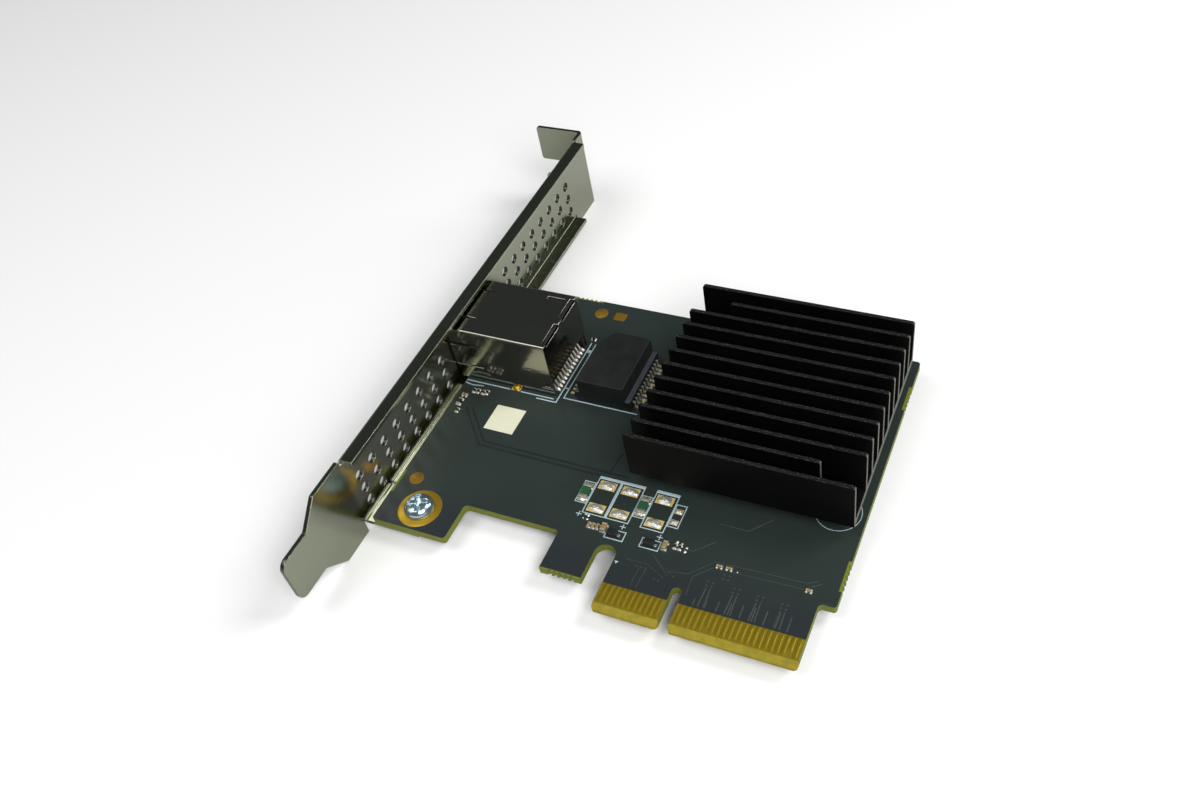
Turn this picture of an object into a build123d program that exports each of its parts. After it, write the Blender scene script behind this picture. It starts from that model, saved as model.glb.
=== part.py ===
from build123d import *
import math
import os

# Network interface card, full-height bracket, one shielded port, four-lane card edge.
# Units are millimetres. X runs along the card away from the bracket, Y runs from the card edge
# towards the chassis tab, Z points away from the component side. The origin is the middle of
# the key notch, on the line of the card edge, at the board's component face.

# Circuit board
BOARD_T = 1.6
BOARD_LEFT = -58.5
BOARD_RIGHT = 25.45
BOARD_TOP = 68.9
BOARD_CORNER_R = 0.6
FOOT_BOTTOM = 4.8
FOOT_RIGHT = -43.3
BAY_TOP = 12.6
TONGUE_LEFT = -24.3
TONGUE_BOTTOM = 4.55
SLOT_W = 3.9
SLOT_TOP = 12.4
SHOULDER_Y = 12.1
SHOULDER_R = 0.8
KEY_W = 1.9
KEY_TOP = 8.0
KEY_SHORT = 11.65
KEY_LONG = 21.65
EDGE_CORNER_R = 0.7
BEVEL_LENGTH = 1.2
BEVEL_ANGLE = 20.0

# Gold contacts of the card edge
CONTACT_PITCH = 1.0
CONTACT_W = 0.7
CONTACT_Y0 = 1.3
CONTACT_Y1 = 5.2
CONTACT_SHORTER = 1.0
CONTACTS_SHORT_FIELD = 11
CONTACTS_LONG_FIELD = 21
PLATING_T = 0.05

# Break-off marks where the board was snapped from its panel
NICK_R = 0.35
NICK_SIDES = 6
NICK_PITCH = 1.04
NICK_COUNT = 5
NICK_TOP_X = -44.1
NICK_SIDE_YS = (18.3, 59.2)
NICK_TONGUE_INSET = 3.95

# Bracket, one folded sheet
SHEET_T = 0.86
BEND_IN_R = 0.2
PLATE_GAP = 1.72
PLATE_LOW = -4.1
PLATE_W = 18.7
BRACKET_FAR = 105.7
BRACKET_L = 120.1
FLANGE_TOP_W = 3.2
FLANGE_TOP_Y0 = 5.75
FLANGE_TOP_Y1 = 101.3
FLANGE_LOW_W = 3.6
FLANGE_LOW_Y1 = 95.4
RELIEF_W = 0.6
TAIL_TAPER_Y0 = -2.5
TAIL_TAPER_Y1 = -7.2
TAIL_W = 10.2
TAIL_R = 1.8
TAB_DEPTH = 11.43
TAB_R = 0.6
NOTCH_W = 4.42
NOTCH_Z = 4.0
NOTCH_DEPTH = 6.4
EAR_W = 8.8
EAR_L = 13.6
EAR_R = 2.0
COLLAR_R = 2.15
COLLAR_H = 1.1
VENT_R = 1.02
VENT_SIDES = 14
VENT_PITCH_Y = 4.2
VENT_PITCH_Z = 3.35
VENT_ROWS = 8
VENT_COLUMNS = 3
VENT_Z0 = 1.15
VENT_NEAR_Y = 8.1
VENT_FAR_Y = 64.4

# Bracket screws, pan head with a cross recess
SCREW_X = -50.95
SCREW_NEAR_Y = 9.4
SCREW_PITCH = 52.6
SCREW_R = 1.5
SCREW_L = 3.9
SCREW_HEAD_R = 2.8
SCREW_HEAD_H = 2.0
SCREW_HOLE_R = 1.7
THREAD_GAP = 0.04
RECESS_W = 0.7
RECESS_L = 3.0
RECESS_H = 1.1
RING_R = 4.1
PAD_R = 1.4
PAD_SITES = ((-55.2, 15.4), (-39.85, 65.5))
SQUARE_PAD_X = -35.6
SQUARE_PAD_Y = 65.55
SQUARE_PAD_W = 2.6
SQUARE_PAD_H = 2.2

# Network port
PORT_Y = 48.9
PORT_W = 14.9
PORT_H = 13.0
PORT_FRONT = -61.7
PORT_BACK = -38.9
SHIELD_T = 0.25
SHIELD_BACK_LOW = 3.4
PORT_CUT_GAP = 0.2
FINGER_TOP_L = 4.8
FINGER_SIDE_L = 6.2
FINGER_TOP_W = 8.0
FINGER_TOP_OFFSET = 0.4
FINGER_SIDE_W = 5.2
FINGER_SLOT = 0.45
FINGER_TOP_RISE = 0.3
FINGER_SIDE_RISE = 0.4
FINGER_SIDE_Z = 6.6
SEAM_SLOT_W = 5.5
SEAM_SLOT_GAP = 1.7
SEAM_SLOT_DEPTH = 0.9
TOP_SLOT_X = -42.45
TOP_SLOT_L = 3.7
TOP_SLOT_Y = 54.4
TOP_SLOT_W = 1.0
SIDE_SLOT_X = -40.1
SIDE_SLOT_L = 1.2
SIDE_SLOT_Z = 2.7
SIDE_SLOT_W = 1.0
LEG_W = 1.5
LEG_L = 2.4
LEG_X = -47.4
LEG_HOLE_GAP = 0.15
PLUG_W = 11.9
PLUG_H = 6.9
PLUG_DEPTH = 14.6
LATCH_W = 6.3
LATCH_H = 1.5
KEYWAY_W = 3.4
KEYWAY_H = 1.2
INSERT_GAP = 0.05
INSERT_ROOF = 1.0
INSERT_BACK_STEP = 1.4
INSERT_FRONT_STEP = 0.3
COMB_W = 0.5
COMB_PITCH = 1.02
COMB_DEPTH = 1.1
COMB_L = 9.0
WIRE_COUNT = 8
TAIL_COUNT = 12
WIRE_T = 0.35
WIRE_W = 0.42
WIRE_DROP = 2.4
WIRE_TIP_IN = 2.2
LIGHT_W = 2.6
LIGHT_H = 2.0
LIGHT_L = 3.0
LIGHT_LOW = 0.5

# Isolation transformer
COIL_X = -28.85
COIL_Y = 48.9
COIL_W = 9.6
COIL_L = 14.2
COIL_TOP = 5.7
COIL_STEP_W = 11.6
COIL_STEP_TOP = 2.3
COIL_STANDOFF = 0.3
COIL_CUT_X = 2.2
COIL_CUT_Y = 3.6
COIL_LEADS = 12
COIL_PITCH = 1.02
COIL_LEAD_W = 0.45
COIL_LEAD_T = 0.25
COIL_LEAD_Z = 1.5
COIL_SPAN = 14.2

# Heat sink and what is under it
SINK_LEFT = -16.1
SINK_W = 40.6
SINK_FRONT = 26.0
SINK_FINS = 12
FIN_PITCH = 3.55
FIN_T = 0.8
SINK_BASE_Z = 2.94
SINK_BASE_T = 1.5
FIN_H = 8.76
FIN_CORNER = 0.35
FIN_CUT = 6.8
CHIP_W = 15.0
CHIP_LID_W = 11.5
CHIP_BASE_T = 1.1
THERMAL_PAD_T = 0.5
THERMAL_PAD_W = 13.0

# Push pins with springs
PIN_R = 1.3
PIN_GAP = 0.08
PIN_HEAD_R = 2.1
PIN_HEAD_T = 0.6
PIN_SPRING_H = 0.9
PIN_INSET_X = 4.0
PIN_INSET_Y = 4.6
PIN_BARB_R = 2.0
PIN_BARB_H = 2.2
PIN_SLIT_W = 0.6
SPRING_WIRE_R = 0.22

# Small parts
SOLDER_T = 0.05
BIG_PAD_W = 3.3
BIG_PAD_H = 1.9
BIG_PAD_PITCH = 5.15
BIG_PAD_Y = 21.5
BIG_PAD_XS = (-20.0, -15.5, -8.9)
SIDE_PAD_W = 1.45
SIDE_PAD_H = 1.15
SIDE_PAD_PITCH = 2.4
SIDE_PAD_X = -5.6
SIDE_PAD_Y = 21.3
FUSE_PAD_W = 1.5
FUSE_PAD_H = 1.0
FUSE_L = 3.2
FUSE_W = 1.6
FUSE_H = 0.55
FUSE_SITES = ((-23.33, 21.72), (-12.1, 21.68))
LABEL_X = -45.85
LABEL_Y = 33.15
LABEL_W = 6.2
LABEL_T = 0.1
DIODE_XS = (-14.9, -8.0)
DIODE_Y = 14.65
DIODE_L = 1.9
DIODE_W = 1.2
DIODE_H = 0.9

# Parts hidden under the heat sink's overhang, and capacitors under the controller
HIDDEN_STANDOFF = 0.1
FLASH_X = -10.5
FLASH_Y = 37.5
FLASH_W = 3.8
FLASH_L = 5.0
FLASH_H = 1.65
FLASH_FOOT = 0.8
CRYSTAL_X = 17.2
CRYSTAL_Y = 53.45
CRYSTAL_L = 3.2
CRYSTAL_W = 2.5
CRYSTAL_H = 0.9
INDUCTOR_XS = (-1.5, 3.9)
INDUCTOR_Y = 31.0
INDUCTOR_W = 4.0
INDUCTOR_H = 2.0
REGULATOR_XS = (0.5, 6.0)
REGULATOR_Y = 60.3
REGULATOR_W = 3.0
REGULATOR_H = 0.9
UNDER_COLUMNS = 3
UNDER_ROWS = 2
UNDER_PITCH_X = 3.6
UNDER_PITCH_Y = 4.8

# Values worked out from those above
BOARD_LOW = -BOARD_T
KEY_HALF = KEY_W / 2
EDGE_LEFT = -KEY_HALF - KEY_SHORT
EDGE_RIGHT = KEY_HALF + KEY_LONG
SLOT_LEFT = EDGE_LEFT - SLOT_W
PLATE_IN = BOARD_LEFT - PLATE_GAP
PLATE_OUT = PLATE_IN - SHEET_T
PLATE_HIGH = PLATE_LOW + PLATE_W
PLATE_MID = PLATE_LOW + PLATE_W / 2
BEND_R = BEND_IN_R + SHEET_T
BRACKET_NEAR = BRACKET_FAR - BRACKET_L
TAB_OUT = PLATE_IN - TAB_DEPTH
SCREW_FAR_Y = SCREW_NEAR_Y + SCREW_PITCH
SCREW_YS = (SCREW_NEAR_Y, SCREW_FAR_Y)
PORT_Y0 = PORT_Y - PORT_W / 2
PORT_Y1 = PORT_Y + PORT_W / 2
INSERT_TOP = PORT_H - SHIELD_T - INSERT_GAP
SINK_BACK = SINK_FRONT + FIN_PITCH * (SINK_FINS - 1) + FIN_T
SINK_RIGHT = SINK_LEFT + SINK_W
SINK_X = SINK_LEFT + SINK_W / 2
SINK_Y = (SINK_FRONT + SINK_BACK) / 2
SINK_TOP_Z = SINK_BASE_Z + SINK_BASE_T
CHIP_TOP = SINK_BASE_Z - THERMAL_PAD_T
PIN_SITES = (
    (SINK_LEFT + PIN_INSET_X, SINK_BACK - PIN_INSET_Y),
    (SINK_RIGHT - PIN_INSET_X, SINK_FRONT + PIN_INSET_Y),
)
PLUG_TOP = INSERT_TOP - INSERT_ROOF - COMB_DEPTH
PLUG_Z0 = PLUG_TOP - PLUG_H
EAR_UNDER = BOARD_LOW - SHEET_T
NICK_SITES = (
    (NICK_TOP_X, BOARD_TOP, 0.0),
    (BOARD_RIGHT, NICK_SIDE_YS[0], 90.0),
    (BOARD_RIGHT, NICK_SIDE_YS[1], 90.0),
    (TONGUE_LEFT + NICK_TONGUE_INSET, TONGUE_BOTTOM, 0.0),
)


def block(x0, x1, y0, y1, z0, z1):
    """A rectangular solid between two corners."""
    centre = Pos((x0 + x1) / 2, (y0 + y1) / 2, (z0 + z1) / 2)
    return centre * Box(x1 - x0, y1 - y0, z1 - z0)


def post(x, y, radius, z0, z1):
    """A round solid along Z."""
    return Pos(x, y, (z0 + z1) / 2) * Cylinder(radius, z1 - z0)


def across(face, y0, y1):
    """Extrudes a face drawn in X and Z from y0 to y1."""
    return Plane.XZ.offset(-y1) * extrude(face, amount=y1 - y0)


def along(face, x0, x1):
    """Extrudes a face drawn in Y and Z from x0 to x1."""
    return Plane.YZ.offset(x0) * extrude(face, amount=x1 - x0)


def upright(face, z0, z1):
    """Extrudes a face drawn in X and Y from z0 to z1."""
    return Pos(0, 0, z0) * extrude(face, amount=z1 - z0)


def polygon(*points):
    """A flat face with straight sides."""
    return make_face(Polyline(*points, close=True))


def rounded(face, radius, keep):
    """Rounds the corners of a face that keep() picks by position."""
    corners = [v for v in face.vertices() if keep(v.X, v.Y)]
    return fillet(corners, radius)


def corner_at(*points):
    """A test for corners that lie on any of the given points."""
    return lambda x, y: any(math.hypot(x - u, y - v) < 0.01 for u, v in points)


def near_corner(radius, width, height):
    """A fillet radius limited by the piece that it rounds."""
    return min(radius, width / 2.1, height / 2.1)


def save(name, *solids):
    """Writes one node, a group of separate solids where it holds several."""
    whole = []
    for item in solids:
        whole.extend(item.solids())
    shape = whole[0] if len(whole) == 1 else Compound(children=whole)
    shape.label = name
    export_step(shape, os.path.join("parts", name + ".step"))


def board_outline():
    """The board seen from its component side, with its bay, slot and key notch."""
    slot_r = SLOT_W / 2
    key_r = KEY_HALF
    outline = polygon(
        (BOARD_LEFT, FOOT_BOTTOM),
        (FOOT_RIGHT, FOOT_BOTTOM),
        (FOOT_RIGHT, BAY_TOP),
        (TONGUE_LEFT, BAY_TOP),
        (TONGUE_LEFT, TONGUE_BOTTOM),
        (SLOT_LEFT, TONGUE_BOTTOM),
        (SLOT_LEFT, SLOT_TOP),
        (EDGE_LEFT, SLOT_TOP),
        (EDGE_LEFT, 0),
        (-KEY_HALF, 0),
        (-KEY_HALF, KEY_TOP),
        (KEY_HALF, KEY_TOP),
        (KEY_HALF, 0),
        (EDGE_RIGHT, 0),
        (EDGE_RIGHT, SHOULDER_Y),
        (BOARD_RIGHT, SHOULDER_Y),
        (BOARD_RIGHT, BOARD_TOP),
        (BOARD_LEFT, BOARD_TOP),
    )
    tips = corner_at((EDGE_LEFT, 0), (-KEY_HALF, 0), (KEY_HALF, 0), (EDGE_RIGHT, 0))
    outline = rounded(outline, EDGE_CORNER_R, tips)
    outline = rounded(outline, slot_r * 0.98, corner_at((SLOT_LEFT, SLOT_TOP), (EDGE_LEFT, SLOT_TOP)))
    outline = rounded(outline, key_r * 0.98, corner_at((-KEY_HALF, KEY_TOP), (KEY_HALF, KEY_TOP)))
    inner = corner_at((FOOT_RIGHT, BAY_TOP), (TONGUE_LEFT, BAY_TOP), (EDGE_RIGHT, SHOULDER_Y))
    outline = rounded(outline, SHOULDER_R, inner)
    outer = corner_at(
        (BOARD_LEFT, FOOT_BOTTOM),
        (FOOT_RIGHT, FOOT_BOTTOM),
        (BOARD_RIGHT, BOARD_TOP),
        (BOARD_LEFT, BOARD_TOP),
        (BOARD_RIGHT, SHOULDER_Y),
    )
    return rounded(outline, BOARD_CORNER_R, outer)


def circuit_board():
    """The bare laminate: outline, bevelled card edge, holes and break-off marks."""
    board = upright(board_outline(), BOARD_LOW, 0)
    drop = BEVEL_LENGTH * math.tan(math.radians(BEVEL_ANGLE))
    for face_z, way in ((0, -1), (BOARD_LOW, 1)):
        tip_z, clear_z = face_z + way * drop, face_z - way
        wedge = polygon((0, tip_z), (BEVEL_LENGTH, face_z), (0, clear_z), (-1, clear_z), (-1, tip_z))
        board -= along(wedge, EDGE_LEFT - 1, EDGE_RIGHT + 1)
    cuts = [post(SCREW_X, y, SCREW_HOLE_R, BOARD_LOW - 1, 1) for y in SCREW_YS]
    cuts += [post(x, y, PIN_R + PIN_GAP, BOARD_LOW - 1, 1) for x, y in PIN_SITES]
    leg_y = (PORT_Y0 + SHIELD_T / 2, PORT_Y1 - SHIELD_T / 2)
    half_x, half_y = LEG_W / 2 + LEG_HOLE_GAP, SHIELD_T / 2 + LEG_HOLE_GAP
    for y in leg_y:
        cuts.append(block(LEG_X - half_x, LEG_X + half_x, y - half_y, y + half_y, BOARD_LOW - 1, 1))
    row = GridLocations(NICK_PITCH, 1, NICK_COUNT, 1) * RegularPolygon(NICK_R, NICK_SIDES)
    for x, y, turn in NICK_SITES:
        nicks = extrude(Sketch() + row, amount=BOARD_T + 2)
        cuts += (Pos(x, y, BOARD_LOW - 1) * Rot(0, 0, turn) * nicks).solids()
    return board - Compound(children=cuts)


def contact_centres():
    """The X of each contact, from the bracket side, in two fields beside the key notch."""
    short_span = (CONTACTS_SHORT_FIELD - 1) * CONTACT_PITCH
    long_span = (CONTACTS_LONG_FIELD - 1) * CONTACT_PITCH
    short_start = -KEY_HALF - (KEY_SHORT + short_span) / 2
    long_start = KEY_HALF + (KEY_LONG - long_span) / 2
    short = [short_start + i * CONTACT_PITCH for i in range(CONTACTS_SHORT_FIELD)]
    return short + [long_start + i * CONTACT_PITCH for i in range(CONTACTS_LONG_FIELD)]


def edge_contacts(z0, presence_pins):
    """One face's gold contacts. The presence pins stop short, so they mate last."""
    bars = []
    for number, x in enumerate(contact_centres(), start=1):
        y0 = CONTACT_Y0 + (CONTACT_SHORTER if number in presence_pins else 0)
        bars.append(block(x - CONTACT_W / 2, x + CONTACT_W / 2, y0, CONTACT_Y1, z0, z0 + PLATING_T))
    return bars


def bend(x, z, turn):
    """A quarter of a folded sheet in the X-Z plane, about the centre (x, z)."""
    quarter = Circle(BEND_R) - Circle(BEND_IN_R)
    quarter &= Pos(BEND_R / 2, BEND_R / 2) * Rectangle(BEND_R, BEND_R)
    return Pos(x, z) * Rot(0, 0, turn) * quarter


def flange(y0, y1, z_edge, way, reach):
    """A strip folded towards the card along one long edge of the plate.

    z_edge is its outer face, way is 1 for the upper edge and -1 for the lower.
    """
    x = PLATE_OUT + BEND_R
    z = z_edge - way * BEND_R
    section = bend(x, z, 90 if way > 0 else 180)
    z_in = z_edge - way * SHEET_T
    low, high = min(z_in, z_edge), max(z_in, z_edge)
    section += Pos((x + reach) / 2, (low + high) / 2) * Rectangle(reach - x, high - low)
    return across(section, y0, y1)


def plate_outline():
    """The bracket's flat plate in Y and Z, with its tapered tail."""
    low, high = PLATE_MID - TAIL_W / 2, PLATE_MID + TAIL_W / 2
    far = BRACKET_FAR - BEND_R
    outline = polygon(
        (BRACKET_NEAR, low),
        (TAIL_TAPER_Y1, low),
        (TAIL_TAPER_Y0, PLATE_LOW),
        (far, PLATE_LOW),
        (far, PLATE_HIGH),
        (TAIL_TAPER_Y0, PLATE_HIGH),
        (TAIL_TAPER_Y1, high),
        (BRACKET_NEAR, high),
    )
    tips = corner_at((BRACKET_NEAR, low), (BRACKET_NEAR, high))
    return rounded(outline, near_corner(TAIL_R, TAIL_W, TAIL_W), tips)


def chassis_tab():
    """The tab at the far end, folded outwards, with the open notch for the case screw."""
    flat = TAB_DEPTH - BEND_R
    outline = Pos(PLATE_IN - BEND_R - flat / 2, PLATE_MID) * Rectangle(flat, PLATE_W)
    radius = NOTCH_W / 2
    end = TAB_OUT + NOTCH_DEPTH - radius
    outline -= Pos((TAB_OUT - 1 + end) / 2, NOTCH_Z) * Rectangle(end - TAB_OUT + 1, NOTCH_W)
    outline = rounded(outline, TAB_R, lambda x, y: x < TAB_OUT + 0.01)
    outline -= Pos(end, NOTCH_Z) * Circle(radius)
    tab = across(outline, BRACKET_FAR - SHEET_T, BRACKET_FAR)
    quarter = Circle(BEND_R) - Circle(BEND_IN_R)
    quarter &= Pos(BEND_R / 2, BEND_R / 2) * Rectangle(BEND_R, BEND_R)
    fold = Pos(PLATE_IN - BEND_R, BRACKET_FAR - BEND_R) * quarter
    return tab + upright(fold, PLATE_LOW, PLATE_HIGH)


def board_ear(y):
    """An ear folded under the board, with a drawn collar that is tapped for the screw."""
    reach = PLATE_OUT + EAR_L
    ear = flange(y - EAR_W / 2, y + EAR_W / 2, EAR_UNDER, -1, reach)
    tips = [e for e in ear.edges().filter_by(Axis.Z) if e.center().X > reach - 0.01]
    ear = chamfer(tips, near_corner(EAR_R, EAR_W, EAR_L))
    ear += post(SCREW_X, y, COLLAR_R, EAR_UNDER - COLLAR_H, EAR_UNDER + SHEET_T / 2)
    return ear - post(SCREW_X, y, SCREW_R + THREAD_GAP, EAR_UNDER - COLLAR_H - 1, BOARD_LOW + 1)


def vent_holes():
    """Two fields of vents, three columns each. Each is a many-sided prism, near enough round."""
    mid_z = VENT_Z0 + (VENT_COLUMNS - 1) * VENT_PITCH_Z / 2
    half = (VENT_ROWS - 1) * VENT_PITCH_Y / 2
    places = GridLocations(VENT_PITCH_Y, VENT_PITCH_Z, VENT_ROWS, VENT_COLUMNS)
    field = places * RegularPolygon(VENT_R, VENT_SIDES)
    holes = []
    for y0 in (VENT_NEAR_Y, VENT_FAR_Y):
        holes += along(Pos(y0 + half, mid_z) * (Sketch() + field), PLATE_OUT - 1, PLATE_IN + 1).solids()
    return Compound(children=holes)


def bracket():
    """The whole bracket: plate, tail, flanges, ears, tab, port cut-out and vents."""
    plate = along(plate_outline(), PLATE_OUT, PLATE_IN)
    top_strip = (FLANGE_TOP_Y0 - RELIEF_W, FLANGE_TOP_Y1 + RELIEF_W)
    plate -= block(PLATE_OUT - 1, PLATE_IN + 1, *top_strip, PLATE_HIGH - BEND_R, PLATE_HIGH + 1)
    ear_y0 = SCREW_NEAR_Y - EAR_W / 2
    low_strip = (ear_y0 - RELIEF_W, FLANGE_LOW_Y1 + RELIEF_W)
    plate -= block(PLATE_OUT - 1, PLATE_IN + 1, *low_strip, PLATE_LOW - 1, EAR_UNDER + BEND_R)
    whole = plate + flange(FLANGE_TOP_Y0, FLANGE_TOP_Y1, PLATE_HIGH, 1, PLATE_OUT + FLANGE_TOP_W)
    low_y0 = SCREW_NEAR_Y + EAR_W / 2 + RELIEF_W
    whole += flange(low_y0, FLANGE_LOW_Y1, EAR_UNDER, -1, PLATE_OUT + FLANGE_LOW_W)
    for y in SCREW_YS:
        whole += board_ear(y)
    whole += chassis_tab()
    opening = block(
        PLATE_OUT - 1,
        PLATE_IN + 1,
        PORT_Y0 - PORT_CUT_GAP,
        PORT_Y1 + PORT_CUT_GAP,
        -PORT_CUT_GAP,
        PORT_H + PORT_CUT_GAP,
    )
    return whole - opening - vent_holes()


def bracket_screw(y):
    """A pan head screw that clamps the board to its ear."""
    seat = PLATING_T
    top = seat + SCREW_HEAD_H
    profile = polygon(
        (0, seat - SCREW_L),
        (SCREW_R, seat - SCREW_L),
        (SCREW_R, seat),
        (SCREW_HEAD_R, seat),
        (SCREW_HEAD_R, seat + SCREW_HEAD_H * 0.5),
        (SCREW_HEAD_R * 0.7, top),
        (0, top),
    )
    screw = revolve(Plane.XZ * profile, Axis.Z)
    for long_x, long_y in ((RECESS_L, RECESS_W), (RECESS_W, RECESS_L)):
        screw -= Pos(0, 0, top - RECESS_H / 2) * Box(long_x, long_y, RECESS_H)
    return Pos(SCREW_X, y, 0) * Rot(0, 0, 25) * screw


def ring(x, y, outer, inner, z0):
    """A flat plated ring, or a disc where inner is nought."""
    disc = post(x, y, outer, z0, z0 + PLATING_T)
    return disc - post(x, y, inner, z0 - 1, z0 + 1) if inner else disc


def plated_pads():
    """The plated rings round the screw holes and the bare test pads."""
    pads = [ring(SCREW_X, y, RING_R, SCREW_HOLE_R, 0) for y in SCREW_YS]
    pads += [ring(x, y, PAD_R, 0, 0) for x, y in PAD_SITES]
    square = Pos(SQUARE_PAD_X, SQUARE_PAD_Y) * Rectangle(SQUARE_PAD_W, SQUARE_PAD_H)
    return pads + [upright(square, 0, PLATING_T)]


def finger(length, width, rise):
    """A spring finger in the plane of a wall: it leaves the wall, bows out and ends free.

    It lies along X from nought to -length, with the wall's outer face at z = 0.
    """
    t = SHIELD_T
    kink = length * 0.2
    tip = length * 0.86
    side = polygon(
        (0, -t),
        (0, 0),
        (-kink, 0),
        (-tip, rise),
        (-length, rise * 0.75),
        (-length, rise * 0.75 - t),
        (-tip, rise - t),
        (-kink, -t),
    )
    return across(side, -width / 2, width / 2)


def port_shield():
    """The port's folded shield: top, two sides, back wall, spring fingers and two legs."""
    t = SHIELD_T
    shell = block(PORT_FRONT, PORT_BACK, PORT_Y0, PORT_Y1, 0, PORT_H)
    top_edges = [e for e in shell.edges().filter_by(Axis.X) if e.center().Z > PORT_H - 0.01]
    shell = fillet(top_edges, 0.4)
    shell -= block(PORT_FRONT - 1, PORT_BACK - t, PORT_Y0 + t, PORT_Y1 - t, -1, PORT_H - t)
    shell -= block(PORT_BACK - 2 * t, PORT_BACK + 1, PORT_Y0 + t, PORT_Y1 - t, -1, SHIELD_BACK_LOW)
    free = PLATE_IN
    root = free + FINGER_TOP_L
    side_root = free + FINGER_SIDE_L
    slots = []
    top_y = PORT_Y + FINGER_TOP_OFFSET
    z0, z1 = PORT_H - 1, PORT_H + 1
    half_slot = FINGER_SLOT / 2
    half_top = FINGER_TOP_W / 2
    for sign in (-1, 1):
        mid = top_y + sign * half_top
        slots.append(block(free - FINGER_SLOT, root, mid - half_slot, mid + half_slot, z0, z1))
        seam_y = PORT_Y + sign * (SEAM_SLOT_GAP / 2 + SEAM_SLOT_W / 2)
        y0, y1 = seam_y - SEAM_SLOT_W / 2, seam_y + SEAM_SLOT_W / 2
        slots.append(block(PORT_BACK - SEAM_SLOT_DEPTH, PORT_BACK + 1, y0, y1, PORT_H - 3 * t, z1))
    slots.append(block(free - FINGER_SLOT, root, top_y - half_top, top_y + half_top, z0, z1))
    slots.append(Pos(TOP_SLOT_X, TOP_SLOT_Y, PORT_H) * Box(TOP_SLOT_L, TOP_SLOT_W, 2))
    low, high = FINGER_SIDE_Z - FINGER_SIDE_W / 2, FINGER_SIDE_Z + FINGER_SIDE_W / 2
    for y0, y1 in ((PORT_Y0 - 1, PORT_Y0 + 1), (PORT_Y1 - 1, PORT_Y1 + 1)):
        slots.append(block(free - FINGER_SLOT, side_root, y0, y1, low - FINGER_SLOT, high + FINGER_SLOT))
        slots.append(Pos(SIDE_SLOT_X, (y0 + y1) / 2, SIDE_SLOT_Z) * Box(SIDE_SLOT_L, y1 - y0, SIDE_SLOT_W))
    shell -= Compound(children=slots)
    clear = FINGER_SLOT * 0.4
    shell += Pos(root, top_y, PORT_H) * finger(FINGER_TOP_L - clear, FINGER_TOP_W - FINGER_SLOT, FINGER_TOP_RISE)
    side = finger(FINGER_SIDE_L - clear, FINGER_SIDE_W, FINGER_SIDE_RISE)
    shell += Pos(side_root, PORT_Y0, FINGER_SIDE_Z) * Rot(90, 0, 0) * side
    shell += Pos(side_root, PORT_Y1, FINGER_SIDE_Z) * Rot(-90, 0, 0) * side
    for y in (PORT_Y0, PORT_Y1 - t):
        shell += block(LEG_X - LEG_W / 2, LEG_X + LEG_W / 2, y, y + t, -LEG_L, 0.5)
    return shell


def port_insert():
    """The moulded insert: plug cavity, latch groove, contact comb and light pockets."""
    t = SHIELD_T + INSERT_GAP
    back = PORT_BACK - t
    body = block(PORT_FRONT + INSERT_FRONT_STEP, back, PORT_Y0 + t, PORT_Y1 - t, 0, INSERT_TOP)
    front = PORT_FRONT - 1
    end = PORT_FRONT + PLUG_DEPTH
    body -= block(front, end, PORT_Y - PLUG_W / 2, PORT_Y + PLUG_W / 2, PLUG_Z0, PLUG_TOP)
    body -= block(front, end, PORT_Y - LATCH_W / 2, PORT_Y + LATCH_W / 2, PLUG_Z0 - LATCH_H, PLUG_Z0 + 1)
    groove_low = PLUG_Z0 - LATCH_H - KEYWAY_H
    body -= block(front, end, PORT_Y - KEYWAY_W / 2, PORT_Y + KEYWAY_W / 2, groove_low, PLUG_Z0)
    slot_top = PLUG_TOP + COMB_DEPTH
    half = COMB_W / 2
    centres = wire_centres(WIRE_COUNT)
    slots = [block(end - COMB_L, back + 1, y - half, y + half, PLUG_TOP - 1, slot_top) for y in centres]
    body -= Compound(children=slots)
    body -= block(back - INSERT_BACK_STEP, back + 1, PORT_Y0 + 1, PORT_Y1 - 1, -1, SHIELD_BACK_LOW)
    light_top = LIGHT_LOW + LIGHT_H
    for y in light_centres():
        body -= block(front, PORT_FRONT + LIGHT_L, y - LIGHT_W / 2, y + LIGHT_W / 2, LIGHT_LOW, light_top)
    return body


def wire_centres(count):
    """The Y of each of a row of wires about the port's middle."""
    return [PORT_Y + (i - (count - 1) / 2) * COMB_PITCH for i in range(count)]


def light_centres():
    """The Y of the two light windows beside the latch groove."""
    offset = PORT_W / 2 - SHIELD_T - INSERT_GAP - LIGHT_W / 2 - 0.5
    return (PORT_Y - offset, PORT_Y + offset)


def tail(y):
    """The foot of one rear lead, from the insert down to its pad on the board."""
    top_x = PORT_BACK - SHIELD_T - INSERT_GAP - INSERT_BACK_STEP
    foot_x = PORT_BACK - 0.55
    t = WIRE_T
    side = polygon(
        (top_x, SHIELD_BACK_LOW - 0.6),
        (top_x, SHIELD_BACK_LOW - 0.6 - t),
        (foot_x - 0.5, 0.0),
        (foot_x + 0.3, 0.0),
        (foot_x + 0.3, t * 0.6),
        (foot_x - 0.1, t),
    )
    return across(side, y - WIRE_W / 2, y + WIRE_W / 2)


def spring_wire(y):
    """One contact in the plug cavity, from the comb's end to its free tip."""
    t = WIRE_T * 0.8
    end = PORT_FRONT + PLUG_DEPTH
    roof = PLUG_TOP + COMB_DEPTH
    front = end - COMB_L
    tip_z = PLUG_TOP - WIRE_DROP
    back = PORT_BACK - SHIELD_T - INSERT_GAP
    side = polygon(
        (back, roof),
        (front + 0.2, roof),
        (front + 0.2, roof - 0.6),
        (end - WIRE_TIP_IN, tip_z),
        (end - WIRE_TIP_IN + t, tip_z + t),
        (front + 1.4, roof - t),
        (back, roof - t),
    )
    return across(side, y - WIRE_W / 2, y + WIRE_W / 2)


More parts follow.
